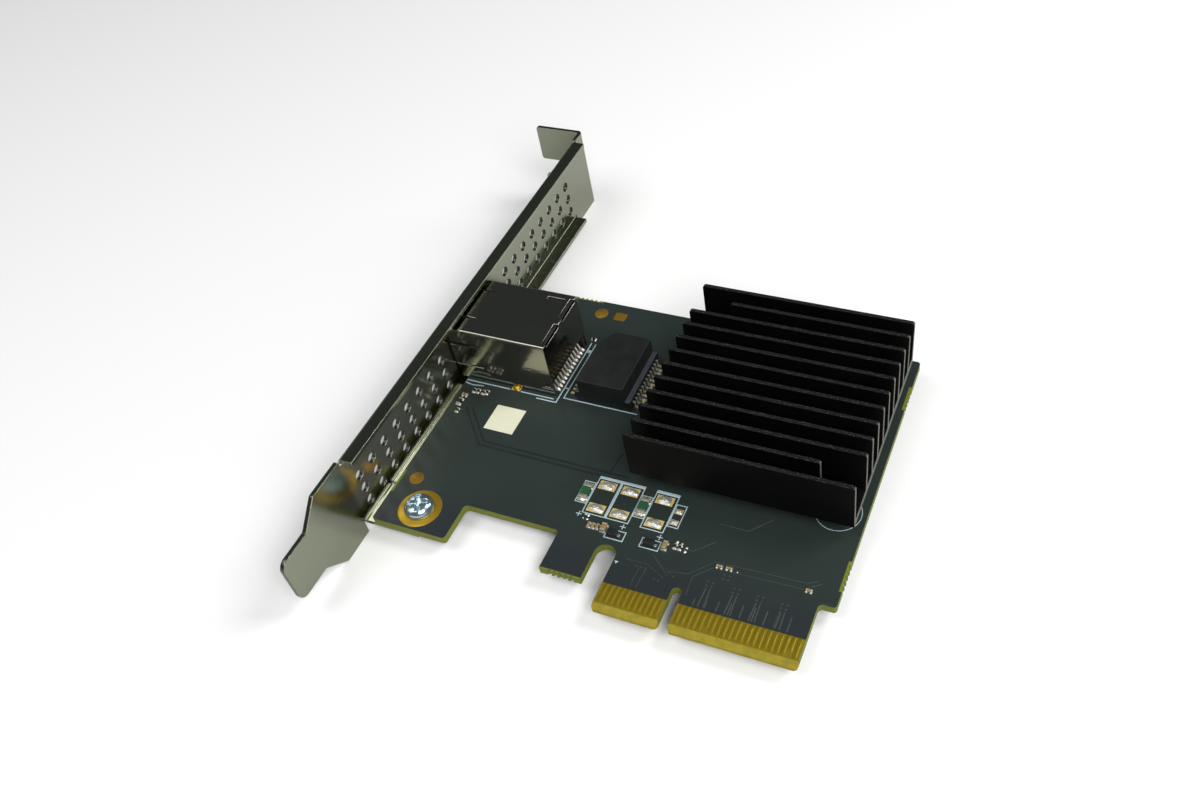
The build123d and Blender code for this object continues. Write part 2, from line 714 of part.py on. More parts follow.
def port_lights():
    """The two light windows, seated in the insert's face."""
    windows = []
    gap = INSERT_GAP
    for y in light_centres():
        windows.append(
            block(
                PORT_FRONT + 0.2,
                PORT_FRONT + LIGHT_L,
                y - LIGHT_W / 2 + gap,
                y + LIGHT_W / 2 - gap,
                LIGHT_LOW,
                LIGHT_LOW + LIGHT_H - gap,
            )
        )
    return windows


def transformer_body():
    """The moulded case: a stepped block with one corner cut to mark its first lead."""
    half_step = COIL_STEP_W / 2
    half = COIL_W / 2
    y0, y1 = COIL_Y - COIL_L / 2, COIL_Y + COIL_L / 2
    case = block(COIL_X - half_step, COIL_X + half_step, y0, y1, COIL_STANDOFF, COIL_STEP_TOP)
    case += block(COIL_X - half, COIL_X + half, y0, y1, COIL_STEP_TOP, COIL_TOP)
    cut = polygon(
        (COIL_X - half, y1 + 1),
        (COIL_X - half + COIL_CUT_X, y1 + 1),
        (COIL_X - half + COIL_CUT_X, y1),
        (COIL_X - half, y1 - COIL_CUT_Y),
        (COIL_X - half - 1, y1 - COIL_CUT_Y),
        (COIL_X - half - 1, y1 + 1),
    )
    return case - upright(cut, COIL_STEP_TOP, COIL_TOP + 1)


def transformer_leads():
    """Gull-wing leads, one row on each long side of the case."""
    t = COIL_LEAD_T
    wall = COIL_STEP_W / 2
    toe = COIL_SPAN / 2
    knee = wall + 0.45
    side = polygon(
        (wall, COIL_LEAD_Z),
        (wall, COIL_LEAD_Z - t),
        (knee - t, COIL_LEAD_Z - t),
        (knee - t, 0),
        (toe, 0),
        (toe, t),
        (knee, t),
        (knee, COIL_LEAD_Z),
    )
    leads = []
    for i in range(COIL_LEADS):
        y = (i - (COIL_LEADS - 1) / 2) * COIL_PITCH
        right = across(side, y - COIL_LEAD_W / 2, y + COIL_LEAD_W / 2)
        leads.append(Pos(COIL_X, COIL_Y, 0) * right)
        leads.append(Pos(COIL_X, COIL_Y, 0) * Rot(0, 0, 180) * right)
    return leads


def heat_sink():
    """Base and fins in one piece. A fin is cut short at each push pin."""
    sink = block(SINK_LEFT, SINK_RIGHT, SINK_FRONT, SINK_BACK, SINK_BASE_Z, SINK_TOP_Z)
    top = SINK_TOP_Z + FIN_H
    for i in range(SINK_FINS):
        y0 = SINK_FRONT + i * FIN_PITCH
        left, right = SINK_LEFT, SINK_RIGHT
        if i == SINK_FINS - 2:
            left += FIN_CUT
        if i == 1:
            right -= FIN_CUT
        face = Pos((left + right) / 2, (SINK_BASE_Z + top) / 2) * Rectangle(right - left, top - SINK_BASE_Z)
        tips = [v for v in face.vertices() if v.Y > top - 0.01]
        face = chamfer(tips, near_corner(FIN_CORNER, SINK_W, FIN_H))
        sink += across(face, y0, y0 + FIN_T)
    for x, y in PIN_SITES:
        sink -= post(x, y, PIN_R + PIN_GAP, SINK_BASE_Z - 1, SINK_TOP_Z + 0.5)
    return sink


def controller_chip():
    """The controller in its package, with a raised lid."""
    half = CHIP_W / 2
    lid = CHIP_LID_W / 2
    chip = block(SINK_X - half, SINK_X + half, SINK_Y - half, SINK_Y + half, 0, CHIP_BASE_T)
    return chip + block(SINK_X - lid, SINK_X + lid, SINK_Y - lid, SINK_Y + lid, CHIP_BASE_T, CHIP_TOP)


def thermal_pad():
    """The soft pad between the chip's lid and the heat sink."""
    half = min(THERMAL_PAD_W, CHIP_LID_W) / 2
    return block(SINK_X - half, SINK_X + half, SINK_Y - half, SINK_Y + half, CHIP_TOP, SINK_BASE_Z)


def push_pin(x, y):
    """A plastic push pin: round head and shank, and a flat split barb that snaps under the board."""
    head_z = SINK_TOP_Z + PIN_SPRING_H
    tip = BOARD_LOW - PIN_BARB_H
    pin = post(0, 0, PIN_R, BOARD_LOW - 0.2, head_z)
    pin += post(0, 0, PIN_HEAD_R, head_z, head_z + PIN_HEAD_T)
    barb = polygon(
        (-PIN_R * 0.7, tip),
        (PIN_R * 0.7, tip),
        (PIN_BARB_R, BOARD_LOW - 0.5),
        (PIN_BARB_R, BOARD_LOW),
        (-PIN_BARB_R, BOARD_LOW),
        (-PIN_BARB_R, BOARD_LOW - 0.5),
    )
    pin += across(barb, -PIN_R * 0.8, PIN_R * 0.8)
    slit_top = BOARD_LOW + 1.2
    pin -= Pos(0, 0, (tip - 1 + slit_top) / 2) * Box(PIN_SLIT_W, 2 * PIN_BARB_R + 1, slit_top - tip + 1)
    return Pos(x, y, 0) * Rot(0, 0, 45) * pin


def pin_spring(x, y):
    """The coil spring under a push pin's head, as the sleeve that its closed turns make."""
    radius = (PIN_R + PIN_HEAD_R) / 2
    sleeve = post(x, y, radius + SPRING_WIRE_R, SINK_TOP_Z, SINK_TOP_Z + PIN_SPRING_H)
    return sleeve - post(x, y, radius - SPRING_WIRE_R, SINK_TOP_Z - 1, SINK_TOP_Z + PIN_SPRING_H + 1)


def bare_pads():
    """The solder pads of the parts that this build leaves out, and those under the two fuses."""
    pairs = [(x, BIG_PAD_Y, BIG_PAD_W, BIG_PAD_H, BIG_PAD_PITCH) for x in BIG_PAD_XS]
    pairs.append((SIDE_PAD_X, SIDE_PAD_Y, SIDE_PAD_W, SIDE_PAD_H, SIDE_PAD_PITCH))
    pairs += [(x, y, FUSE_PAD_W, FUSE_PAD_H, FUSE_L) for x, y in FUSE_SITES]
    pads = []
    for x, y, w, h, pitch in pairs:
        for mid in (y - pitch / 2, y + pitch / 2):
            pads.append(block(x - w / 2, x + w / 2, mid - h / 2, mid + h / 2, 0, SOLDER_T))
    return pads


def chip_part(x, y, length, width, height, turn=0.0, side=1, seat=0.0):
    """One two-ended surface part: its body and its two metal ends, seated at a height over the board."""
    cap = length * 0.22
    place = Pos(x, y, seat if side > 0 else BOARD_LOW) * Rot(0, 0, turn)
    z0, z1 = (0, height) if side > 0 else (-height, 0)
    body = place * block(-length / 2 + cap, length / 2 - cap, -width / 2, width / 2, z0, z1)
    ends = []
    for sign in (-1, 1):
        inner, outer = sign * (length / 2 - cap), sign * length / 2
        ends.append(place * block(min(inner, outer), max(inner, outer), -width / 2, width / 2, z0, z1))
    return body, ends


CAPACITORS = (
    (-16.83, 15.3, 1.6, 0.95, 0.85, 90, 1),
    (-19.69, 15.2, 1.0, 0.5, 0.5, 90, 1),
    (-18.88, 15.2, 1.0, 0.5, 0.5, 90, 1),
    (-18.07, 15.25, 1.0, 0.5, 0.5, 90, 1),
    (-5.25, 15.0, 1.6, 0.8, 0.8, 90, 1),
    (-56.7, 36.7, 1.0, 0.6, 0.5, 0, 1),
    (5.0, 13.87, 1.0, 0.5, 0.5, 0, 1),
    (6.7, 13.95, 1.0, 0.5, 0.5, 0, 1),
    (20.4, 13.85, 1.0, 0.5, 0.5, 0, 1),
)
RESISTORS = (
    (-3.57, 15.5, 1.0, 0.5, 0.35, 90, 1),
    (-2.7, 15.5, 1.0, 0.5, 0.35, 90, 1),
    (-55.4, 38.35, 1.0, 0.5, 0.35, 90, 1),
    (-54.55, 38.4, 1.0, 0.5, 0.35, 90, 1),
    (-53.43, 38.4, 1.0, 0.5, 0.35, 90, 1),
    (-52.63, 38.55, 1.0, 0.5, 0.35, 90, 1),
    (-56.85, 34.9, 1.6, 0.8, 0.45, 90, 1),
    (-56.2, 32.7, 1.0, 0.5, 0.35, 90, 1),
    (-38.2, 57.9, 1.0, 0.5, 0.35, 0, 1),
)


def diode(x):
    """A small two-lead diode in its outlined place."""
    half = DIODE_L / 2
    body = block(x - half, x + half, DIODE_Y - DIODE_W / 2, DIODE_Y + DIODE_W / 2, 0.1, DIODE_H)
    leads = []
    for sign in (-1, 1):
        inner, outer = x + sign * (half - 0.35), x + sign * (half + 0.4)
        leads.append(block(min(inner, outer), max(inner, outer), DIODE_Y - 0.3, DIODE_Y + 0.3, 0, 0.1))
    return body, leads


def label():
    """The small square label."""
    half = LABEL_W / 2
    return block(LABEL_X - half, LABEL_X + half, LABEL_Y - half, LABEL_Y + half, 0, LABEL_T)


def package(x, y, width, length, height):
    """A plain package body that sits on the board."""
    return block(x - width / 2, x + width / 2, y - length / 2, y + length / 2, 0, height)


def flash_memory():
    """The flash memory: its body stands off the board on the feet of its two rows of leads."""
    body = package(FLASH_X, FLASH_Y, FLASH_W, FLASH_L, HIDDEN_STANDOFF + FLASH_H)
    body -= package(FLASH_X, FLASH_Y, FLASH_W + 1, FLASH_L + 1, HIDDEN_STANDOFF)
    for side in (-1, 1):
        foot_x = FLASH_X + side * FLASH_W / 2
        body += package(foot_x, FLASH_Y, FLASH_FOOT, FLASH_L * 0.8, HIDDEN_STANDOFF)
    return body


def solder_side_capacitors():
    """Decoupling capacitors under the controller, on the solder side."""
    places = GridLocations(UNDER_PITCH_X, UNDER_PITCH_Y, UNDER_COLUMNS, UNDER_ROWS)
    sites = [(SINK_X + place.position.X, SINK_Y + place.position.Y) for place in places]
    return [chip_part(x, y, 1.6, 0.8, 0.8, 90, -1) for x, y in sites]


def surface_fuses():
    """The two flat fuses, soldered across their pads."""
    return [chip_part(x, y, FUSE_L, FUSE_W, FUSE_H, 90, 1, SOLDER_T) for x, y in FUSE_SITES]


def main():
    """Writes one STEP file for each node."""
    os.makedirs("parts", exist_ok=True)
    save("circuit_board", circuit_board())
    save("edge_contacts_component_side", *edge_contacts(0, (17, 31)))
    save("edge_contacts_solder_side", *edge_contacts(BOARD_LOW - PLATING_T, (1,)))
    save("plated_pads", *plated_pads())
    save("bare_solder_pads", *bare_pads())
    save("bracket", bracket())
    save("bracket_screws", *[bracket_screw(y) for y in SCREW_YS])
    save("port_shield", port_shield())
    save("port_insert", port_insert())
    save("port_spring_contacts", *[spring_wire(y) for y in wire_centres(WIRE_COUNT)])
    save("port_rear_leads", *[tail(y) for y in wire_centres(TAIL_COUNT)])
    save("port_lights", *port_lights())
    save("transformer_body", transformer_body())
    save("transformer_leads", *transformer_leads())
    save("heat_sink", heat_sink())
    save("controller_chip", controller_chip())
    save("thermal_pad", thermal_pad())
    save("push_pins", *[push_pin(x, y) for x, y in PIN_SITES])
    save("push_pin_springs", *[pin_spring(x, y) for x, y in PIN_SITES])
    caps = [chip_part(*row) for row in CAPACITORS]
    save("ceramic_capacitors", *[body for body, _ in caps])
    resistors = [chip_part(*row) for row in RESISTORS]
    save("chip_resistors", *[body for body, _ in resistors])
    under = solder_side_capacitors()
    save("solder_side_capacitors", *[body for body, _ in under])
    fuses = surface_fuses()
    save("surface_fuses", *[body for body, _ in fuses])
    ends = [end for _, pair in caps + resistors + under + fuses for end in pair]
    save("small_part_ends", *ends)
    diodes = [diode(x) for x in DIODE_XS]
    save("diodes", *[body for body, _ in diodes])
    save("diode_leads", *[lead for _, pair in diodes for lead in pair])
    save("label", label())
    save("flash_memory", flash_memory())
    save("crystal", package(CRYSTAL_X, CRYSTAL_Y, CRYSTAL_L, CRYSTAL_W, CRYSTAL_H))
    coils = [package(x, INDUCTOR_Y, INDUCTOR_W, INDUCTOR_W, INDUCTOR_H) for x in INDUCTOR_XS]
    save("power_inductors", *coils)
    regulators = [package(x, REGULATOR_Y, REGULATOR_W, REGULATOR_W, REGULATOR_H) for x in REGULATOR_XS]
    save("regulator_chips", *regulators)


main()
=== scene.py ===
"""A network interface card: its finishes, fine surfaces, studio and camera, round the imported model.

Sizes are in millimetres in this file and become metres when a mesh is made. X runs along the card
away from the bracket, Y from the card edge towards the chassis tab, and Z away from the component
side. The origin is the middle of the key notch, at the card edge, on the component face.
"""

from __future__ import annotations

import logging
import math
from dataclasses import dataclass
from enum import Enum

import bmesh
import bpy
import numpy as np
from mathutils import Matrix, Vector

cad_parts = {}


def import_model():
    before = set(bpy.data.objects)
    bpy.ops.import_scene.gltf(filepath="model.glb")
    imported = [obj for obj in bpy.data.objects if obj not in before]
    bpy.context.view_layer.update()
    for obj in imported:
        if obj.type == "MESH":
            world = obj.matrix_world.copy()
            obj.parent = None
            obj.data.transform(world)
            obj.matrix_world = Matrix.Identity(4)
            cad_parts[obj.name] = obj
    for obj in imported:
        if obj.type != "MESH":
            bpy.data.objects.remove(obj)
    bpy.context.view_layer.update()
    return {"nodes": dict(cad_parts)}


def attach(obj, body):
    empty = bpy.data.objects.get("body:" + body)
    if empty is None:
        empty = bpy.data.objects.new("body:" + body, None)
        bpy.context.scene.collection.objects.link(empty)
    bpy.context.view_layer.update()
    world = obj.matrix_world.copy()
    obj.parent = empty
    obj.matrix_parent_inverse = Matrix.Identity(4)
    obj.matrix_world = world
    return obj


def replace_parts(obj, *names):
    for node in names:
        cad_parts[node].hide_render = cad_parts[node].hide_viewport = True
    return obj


LOG = logging.getLogger("network_card")
MM = 0.001
# Millimetres in a metre: a pattern's scale is this over its real size in millimetres.
PER_METRE = 1000
BODY = "root"
BOARD_T = 1.6
PHOTO_W, PHOTO_H = 1200, 800
Array = np.ndarray
Socket = bpy.types.NodeSocket


class Side(Enum):
    """A face of the board, by the way that it looks along Z."""

    COMPONENT = 1
    SOLDER = -1


class Shade(Enum):
    """How a mesh's faces meet to the eye."""

    SMOOTH = "smooth"
    WEIGHTED = "smooth, with flat faces kept flat"


def linear(code: str) -> tuple[float, float, float, float]:
    """Turns an sRGB hex colour to linear light.

    Below 0.04045, c / 12.92, and above it ((c + 0.055) / 1.055) ** 2.4.

    Args:
        code: The colour, as "#rrggbb".

    Returns:
        Red, green, blue and an alpha of one.
    """
    parts = np.array([int(code[i : i + 2], 16) for i in (1, 3, 5)]) / 255
    light = np.where(parts < 0.04045, parts / 12.92, ((parts + 0.055) / 1.055) ** 2.4)
    return (*(float(c) for c in light), 1.0)


def add(tree: bpy.types.NodeTree, kind: str, sockets: dict | None = None, **settings: object) -> bpy.types.Node:
    """Adds one node to a tree.

    Args:
        tree: The node tree.
        kind: The node's type name.
        sockets: Input socket, by name or number, to a value or to the output that it is linked to.
        settings: The node's own settings.

    Returns:
        The new node.
    """
    made = tree.nodes.new(kind)
    for key, value in settings.items():
        setattr(made, key, value)
    for key, value in (sockets or {}).items():
        if isinstance(value, Socket):
            tree.links.new(value, made.inputs[key])
        else:
            made.inputs[key].default_value = value
    return made


@dataclass(frozen=True)
class Look:
    """What a finish feeds to the shader: sockets or plain values."""

    colour: Socket
    roughness: Socket | float
    metallic: Socket | float
    normal: Socket | None


@dataclass(frozen=True)
class Limit:
    """A soft bound on a measure, which has to pass its value or, where not above, stay short of it."""

    measure: Socket
    value: float
    soft: float
    above: bool = True


def zone(tree: bpy.types.NodeTree, *limits: Limit) -> Socket:
    """A mask that is one where every limit is kept: the product of a smooth step for each.

    For a measure v, a value a and a width w, t = (v - a) / w + 1/2 is held between nought and one.
    The step is t^2 (3 - 2 t), or one less that where the measure has to stay short of the value.

    Args:
        tree: The node tree.
        limits: The limits, at least one.

    Returns:
        The mask.
    """
    steps = []
    for limit in limits:
        ends = {"From Min": limit.value - limit.soft / 2, "From Max": limit.value + limit.soft / 2}
        levels = {"To Min": 0.0 if limit.above else 1.0, "To Max": 1.0 if limit.above else 0.0}
        sockets = {"Value": limit.measure, **ends, **levels}
        steps.append(add(tree, "ShaderNodeMapRange", sockets, interpolation_type="SMOOTHSTEP").outputs[0])
    mask = steps[0]
    for other in steps[1:]:
        mask = add(tree, "ShaderNodeMath", {0: mask, 1: other}, operation="MULTIPLY").outputs[0]
    return mask


def band(measure: Socket, low: float, high: float, soft: float = 0.04) -> tuple[Limit, Limit]:
    """The two limits of a measure that lies between two levels, in millimetres."""
    return Limit(measure, low * MM, soft * MM), Limit(measure, high * MM, soft * MM, above=False)


def facing(tree: bpy.types.NodeTree, axis: int, either: bool = False) -> Socket:
    """How squarely a face looks along an axis: its normal's part n . e, or the size of that.

    Args:
        tree: The node tree.
        axis: The axis, 0 for X, 1 for Y and 2 for Z.
        either: Whether looking back along the axis counts as much.

    Returns:
        A value from minus one to one, or from nought to one.
    """
    normal = add(tree, "ShaderNodeNewGeometry").outputs["Normal"]
    part = add(tree, "ShaderNodeSeparateXYZ", {0: normal}).outputs[axis]
    return add(tree, "ShaderNodeMath", {0: part}, operation="ABSOLUTE").outputs[0] if either else part


@dataclass(frozen=True)
class Finish:
    """One real material, with a slow drift of its colour and a fine grain.

    drift_mm is the size of a patch of the second colour, grain_mm the size of a grain, and stretch
    makes both longer along an axis where the surface was drawn or brushed.
    """

    name: str
    colour: str
    second: str
    drift_mm: float = 8.0
    metallic: float = 0.0
    roughness: float = 0.5
    uneven: float = 0.06
    specular: float = 0.5
    grain_mm: float = 0.35
    grain_depth: float = 0.1
    stretch: tuple[float, float, float] = (1.0, 1.0, 1.0)

    def look(self, tree: bpy.types.NodeTree, place: Socket) -> Look:
        """Draws the drift and the grain.

        Args:
            tree: The material's node tree.
            place: The stretched object coordinates, in metres.

        Returns:
            The colour, roughness, metallic value and normal.
        """
        noise = {"Vector": place, "Scale": PER_METRE / self.drift_mm, "Detail": 4.0}
        drift = add(tree, "ShaderNodeTexNoise", noise).outputs[0]
        spread = {
            "Value": drift,
            "From Min": 0.3,
            "From Max": 0.7,
            "To Min": max(self.roughness - self.uneven, 0.02),
            "To Max": self.roughness + self.uneven,
        }
        rough = add(tree, "ShaderNodeMapRange", spread).outputs[0]
        ends = {0: drift, 6: linear(self.colour), 7: linear(self.second)}
        colour = add(tree, "ShaderNodeMix", ends, data_type="RGBA").outputs[2]
        return Look(colour, rough, self.metallic, self.grain(tree, place))

    def grain(self, tree: bpy.types.NodeTree, place: Socket) -> Socket | None:
        """Draws the fine grain as a bump.

        Args:
            tree: The material's node tree.
            place: The stretched object coordinates, in metres.

        Returns:
            The bumped normal, or None where the surface has no grain.
        """
        if not self.grain_depth:
            return None
        fine = add(tree, "ShaderNodeTexNoise", {"Vector": place, "Scale": PER_METRE / self.grain_mm, "Detail": 3.0})
        height = {"Height": fine.outputs[0], "Strength": self.grain_depth, "Distance": self.grain_mm * MM}
        return add(tree, "ShaderNodeBump", height).outputs[0]

    def material(self) -> bpy.types.Material:
        """Makes the Blender material of this finish, once.

        Returns:
            The material, new or already made.
        """
        known = bpy.data.materials.get(self.name)
        if known:
            return known
        made = bpy.data.materials.new(self.name)
        made.use_nodes = True
        tree = made.node_tree
        tree.nodes.clear()
        coordinates = add(tree, "ShaderNodeTexCoord")
        scaled = add(tree, "ShaderNodeMapping", {"Vector": coordinates.outputs["Object"], "Scale": self.stretch})
        look = self.look(tree, scaled.outputs[0])
        sockets = {
            "Base Color": look.colour,
            "Roughness": look.roughness,
            "Metallic": look.metallic,
            "Specular IOR Level": self.specular,
        }
        if look.normal is not None:
            sockets["Normal"] = look.normal
        shader = add(tree, "ShaderNodeBsdfPrincipled", sockets)
        add(tree, "ShaderNodeOutputMaterial", {"Surface": shader.outputs[0]})
        return made


@dataclass(frozen=True)
class BoardFinish(Finish):
    """A glass-epoxy board under dark solder mask, bare at its routed edges and round the contacts.

    The mask is a smooth lacquer, a little bluer over the card edge, where there is less copper. The
    routed edge shows the cloth's layers, and the bevel is freshly cut, yellower than the
    bare laminate. At the rim, the edge's colour shows where break-off tabs were snapped.
    """

    edge: str = "#6d7324"
    edge_dark: str = "#474c1c"
    bare: str = "#5f520a"
    bare_pale: str = "#7a6b0c"
    bevel: str = "#887a08"
    bevel_dark: str = "#7a6d08"
    near_edge: str = "#22272a"
    contact_top: float = 5.2
    tongue_left: float = -13.0
    bevel_top: float = 1.25
    fade_y: float = 11.0
    fade_w: float = 12.0
    scuff_mm: float = 1.6
    layer_mm: float = 0.4
    thread_mm: float = 0.5
    thread_stretch: tuple[float, float, float] = (1.0, 0.15, 1.0)
    scuffs: tuple[float, float] = (0.35, 0.6)
    edge_rough: float = 0.75
    bare_rough: float = 0.5
    snapped: tuple = (
        (24.95, 26.0, 15.3, 21.4),
        (24.95, 26.0, 56.2, 62.1),
        (-59.0, -58.05, 11.4, 16.6),
        (-24.4, -16.3, 4.0, 4.78),
        (-47.3, -40.9, 68.45, 69.5),
    )

    def look(self, tree: bpy.types.NodeTree, place: Socket) -> Look:
        """Draws mask, edge, bare zone and bevel by place and by the way that a face looks.

        Args:
            tree: The material's node tree.
            place: The object coordinates, in metres.

        Returns:
            The colour, roughness, metallic value and normal.
        """
        plain = super().look(tree, place)
        x, y, z = add(tree, "ShaderNodeSeparateXYZ", {0: place}).outputs
        face = zone(tree, Limit(facing(tree, 2, either=True), 0.5, 0.02))
        below = Limit(y, self.contact_top * MM, 0.02 * MM, above=False)
        tongue = zone(tree, below, Limit(x, self.tongue_left * MM, 0.01 * MM))
        high = zone(tree, Limit(y, self.fade_y * MM, self.fade_w * MM))
        cut = zone(tree, Limit(y, self.bevel_top * MM, 0.05 * MM, above=False))
        slope = self.scuffed(tree, place)
        bare, side = (
            add(tree, "ShaderNodeMix", {0: cut, 6: uncut, 7: slope}, data_type="RGBA").outputs[2]
            for uncut in (self.streaks(tree, place), self.layers(tree, z))
        )
        coats = [(high, plain.colour), (tongue, bare)]
        for x0, x1, y0, y1 in self.snapped:
            coats.append((zone(tree, *band(x, x0, x1, 0.2), *band(y, y0, y1, 0.2)), linear(self.edge)))
        mask = linear(self.near_edge)
        for share, coat in coats:
            mask = add(tree, "ShaderNodeMix", {0: share, 6: mask, 7: coat}, data_type="RGBA").outputs[2]
        colour = add(tree, "ShaderNodeMix", {0: face, 6: side, 7: mask}, data_type="RGBA").outputs[2]
        flat = {"Value": tongue, "To Min": self.roughness, "To Max": self.bare_rough}
        rough_face = add(tree, "ShaderNodeMapRange", flat).outputs[0]
        rough = add(tree, "ShaderNodeMapRange", {"Value": face, "To Min": self.edge_rough, "To Max": rough_face})
        return Look(colour, rough.outputs[0], 0.0, plain.normal)

    def scuffed(self, tree: bpy.types.NodeTree, place: Socket) -> Socket:
        """The cut bevel, mottled by its milling.

        Args:
            tree: The material's node tree.
            place: The object coordinates, in metres.

        Returns:
            The colour.
        """
        scuff = add(tree, "ShaderNodeTexNoise", {"Vector": place, "Scale": PER_METRE / self.scuff_mm, "Detail": 3.0})
        levels = {"From Min": self.scuffs[0], "From Max": self.scuffs[1]}
        patch = add(tree, "ShaderNodeMapRange", {"Value": scuff.outputs[0], **levels})
        ends = {0: patch.outputs[0], 6: linear(self.bevel_dark), 7: linear(self.bevel)}
        return add(tree, "ShaderNodeMix", ends, data_type="RGBA").outputs[2]

    def layers(self, tree: bpy.types.NodeTree, height: Socket) -> Socket:
        """The routed edge, banded by the cloth's layers: a sine of the height, one wave to a layer.

        Args:
            tree: The material's node tree.
            height: The height, in metres.

        Returns:
            The colour.
        """
        turn = 2 * math.pi / (self.layer_mm * MM)
        angle = add(tree, "ShaderNodeMath", {0: height, 1: turn}, operation="MULTIPLY")
        wave = add(tree, "ShaderNodeMath", {0: angle.outputs[0]}, operation="SINE")
        share = add(tree, "ShaderNodeMapRange", {"Value": wave.outputs[0], "From Min": 0.2, "From Max": 1.0})
        ends = {0: share.outputs[0], 6: linear(self.edge), 7: linear(self.edge_dark)}
        return add(tree, "ShaderNodeMix", ends, data_type="RGBA").outputs[2]

    def streaks(self, tree: bpy.types.NodeTree, place: Socket) -> Socket:
        """The bare laminate between the contacts, with the cloth's threads showing along Y.

        Args:
            tree: The material's node tree.
            place: The object coordinates, in metres.

        Returns:
            The colour.
        """
        thread = add(tree, "ShaderNodeMapping", {"Vector": place, "Scale": self.thread_stretch}).outputs[0]
        noise = add(tree, "ShaderNodeTexNoise", {"Vector": thread, "Scale": PER_METRE / self.thread_mm, "Detail": 3.0})
        ends = {0: noise.outputs[0], 6: linear(self.bare), 7: linear(self.bare_pale)}
        return add(tree, "ShaderNodeMix", ends, data_type="RGBA").outputs[2]


@dataclass(frozen=True)
class SheetFinish(Finish):
    """Plated sheet whose punched edges are ragged and rough, and painted darker than its faces as shade in the holes.

    These ragged places are the walls of the plate's holes: faces that don't look along X, between the
    plate's two faces and clear of its folds. From near_y up the plate is painted paler, a painted
    sheen that brightens its reflections, which fades out between the two heights of fade_y.
    """

    # Colour of the hole walls: rough punched metal, darkened with painted shade.
    torn_and_shade: str = "#5a5b50"
    torn_rough: float = 0.15
    # Painted sheen: the paler colour of the plate's near part, standing in for brighter reflections.
    painted_sheen: str = "#b4b5a8"
    plate: tuple[float, float] = (-61.12, -60.18)
    height: tuple[float, float] = (-2.6, 13.2)
    near_y: float = 5.0
    fade_y: tuple[float, float] = (45.0, 20.0)

    def look(self, tree: bpy.types.NodeTree, place: Socket) -> Look:
        """Draws the faces, the painted sheen of the near half and the hole walls with their painted shade.

        Args:
            tree: The material's node tree.
            place: The stretched object coordinates, in metres.

        Returns:
            The colour, roughness, metallic value and normal.
        """
        plain = super().look(tree, place)
        spot = add(tree, "ShaderNodeTexCoord").outputs["Object"]
        x, y, z = add(tree, "ShaderNodeSeparateXYZ", {0: spot}).outputs
        # The hole walls, where painted shade darkens the colour.
        aside = Limit(facing(tree, 0, either=True), 0.6, 0.1, above=False)
        wall = zone(tree, aside, *band(x, *self.plate), *band(z, *self.height))
        # The painted sheen fades out between the heights of fade_y.
        ends = {"From Min": self.fade_y[0] * MM, "From Max": self.fade_y[1] * MM}
        fade = add(tree, "ShaderNodeMapRange", {"Value": y, **ends}).outputs[0]
        flat = Limit(x, (self.plate[1] + 0.1) * MM, 0.1 * MM, above=False)
        strip = zone(tree, Limit(y, self.near_y * MM, 1.5 * MM), flat)
        near = add(tree, "ShaderNodeMath", {0: fade, 1: strip}, operation="MULTIPLY").outputs[0]
        colour = plain.colour
        # The near part takes the painted sheen, the hole walls their darker colour with painted shade.
        for share, coat in ((near, self.painted_sheen), (wall, self.torn_and_shade)):
            colour = add(tree, "ShaderNodeMix", {0: share, 6: colour, 7: linear(coat)}, data_type="RGBA").outputs[2]
        sockets = {0: wall, 1: self.torn_rough, 2: plain.roughness}
        rough = add(tree, "ShaderNodeMath", sockets, operation="MULTIPLY_ADD")
        return Look(colour, rough.outputs[0], plain.metallic, plain.normal)


@dataclass(frozen=True)
class SinkFinish(Finish):
    """Black anodised extrusion. Its fin tops are dark, with a few bright flecks of milled metal that are partly
    painted glints, its sawn ends greyer.
    """

    top_z: float = 13.15
    fleck_mm: float = 0.22
    tip: str = "#131413"
    # Bright flecks on the fin tops: milled metal and painted glints.
    milled_glint: str = "#6a6b66"
    sawn: str = "#62635a"
    sawn_dark: str = "#3a3a34"
    top_flecks: tuple[float, float] = (0.58, 0.76)
    sawn_flecks: tuple[float, float] = (0.35, 0.6)

    def look(self, tree: bpy.types.NodeTree, place: Socket) -> Look:
        """Draws the anodised walls, the milled tops and the sawn ends.

        Args:
            tree: The material's node tree.
            place: The object coordinates, in metres.

        Returns:
            The colour, roughness, metallic value and normal.
        """
        plain = super().look(tree, place)
        height = add(tree, "ShaderNodeSeparateXYZ", {0: place}).outputs[2]
        top = zone(tree, Limit(height, self.top_z * MM, 0.04 * MM))
        end = zone(tree, Limit(facing(tree, 0), 0.7, 0.1))
        noise = {"Vector": place, "Scale": PER_METRE / self.fleck_mm, "Detail": 2.0}
        fleck = add(tree, "ShaderNodeTexNoise", noise).outputs[0]
        colour = plain.colour
        for mask, (low, high), dark, pale in (
            (top, self.top_flecks, self.tip, self.milled_glint),
            (end, self.sawn_flecks, self.sawn_dark, self.sawn),
        ):
            share = add(tree, "ShaderNodeMapRange", {"Value": fleck, "From Min": low, "From Max": high}).outputs[0]
            ends = {0: share, 6: linear(dark), 7: linear(pale)}
            metal = add(tree, "ShaderNodeMix", ends, data_type="RGBA").outputs[2]
            colour = add(tree, "ShaderNodeMix", {0: mask, 6: colour, 7: metal}, data_type="RGBA").outputs[2]
        return Look(colour, plain.roughness, 0.0, plain.normal)


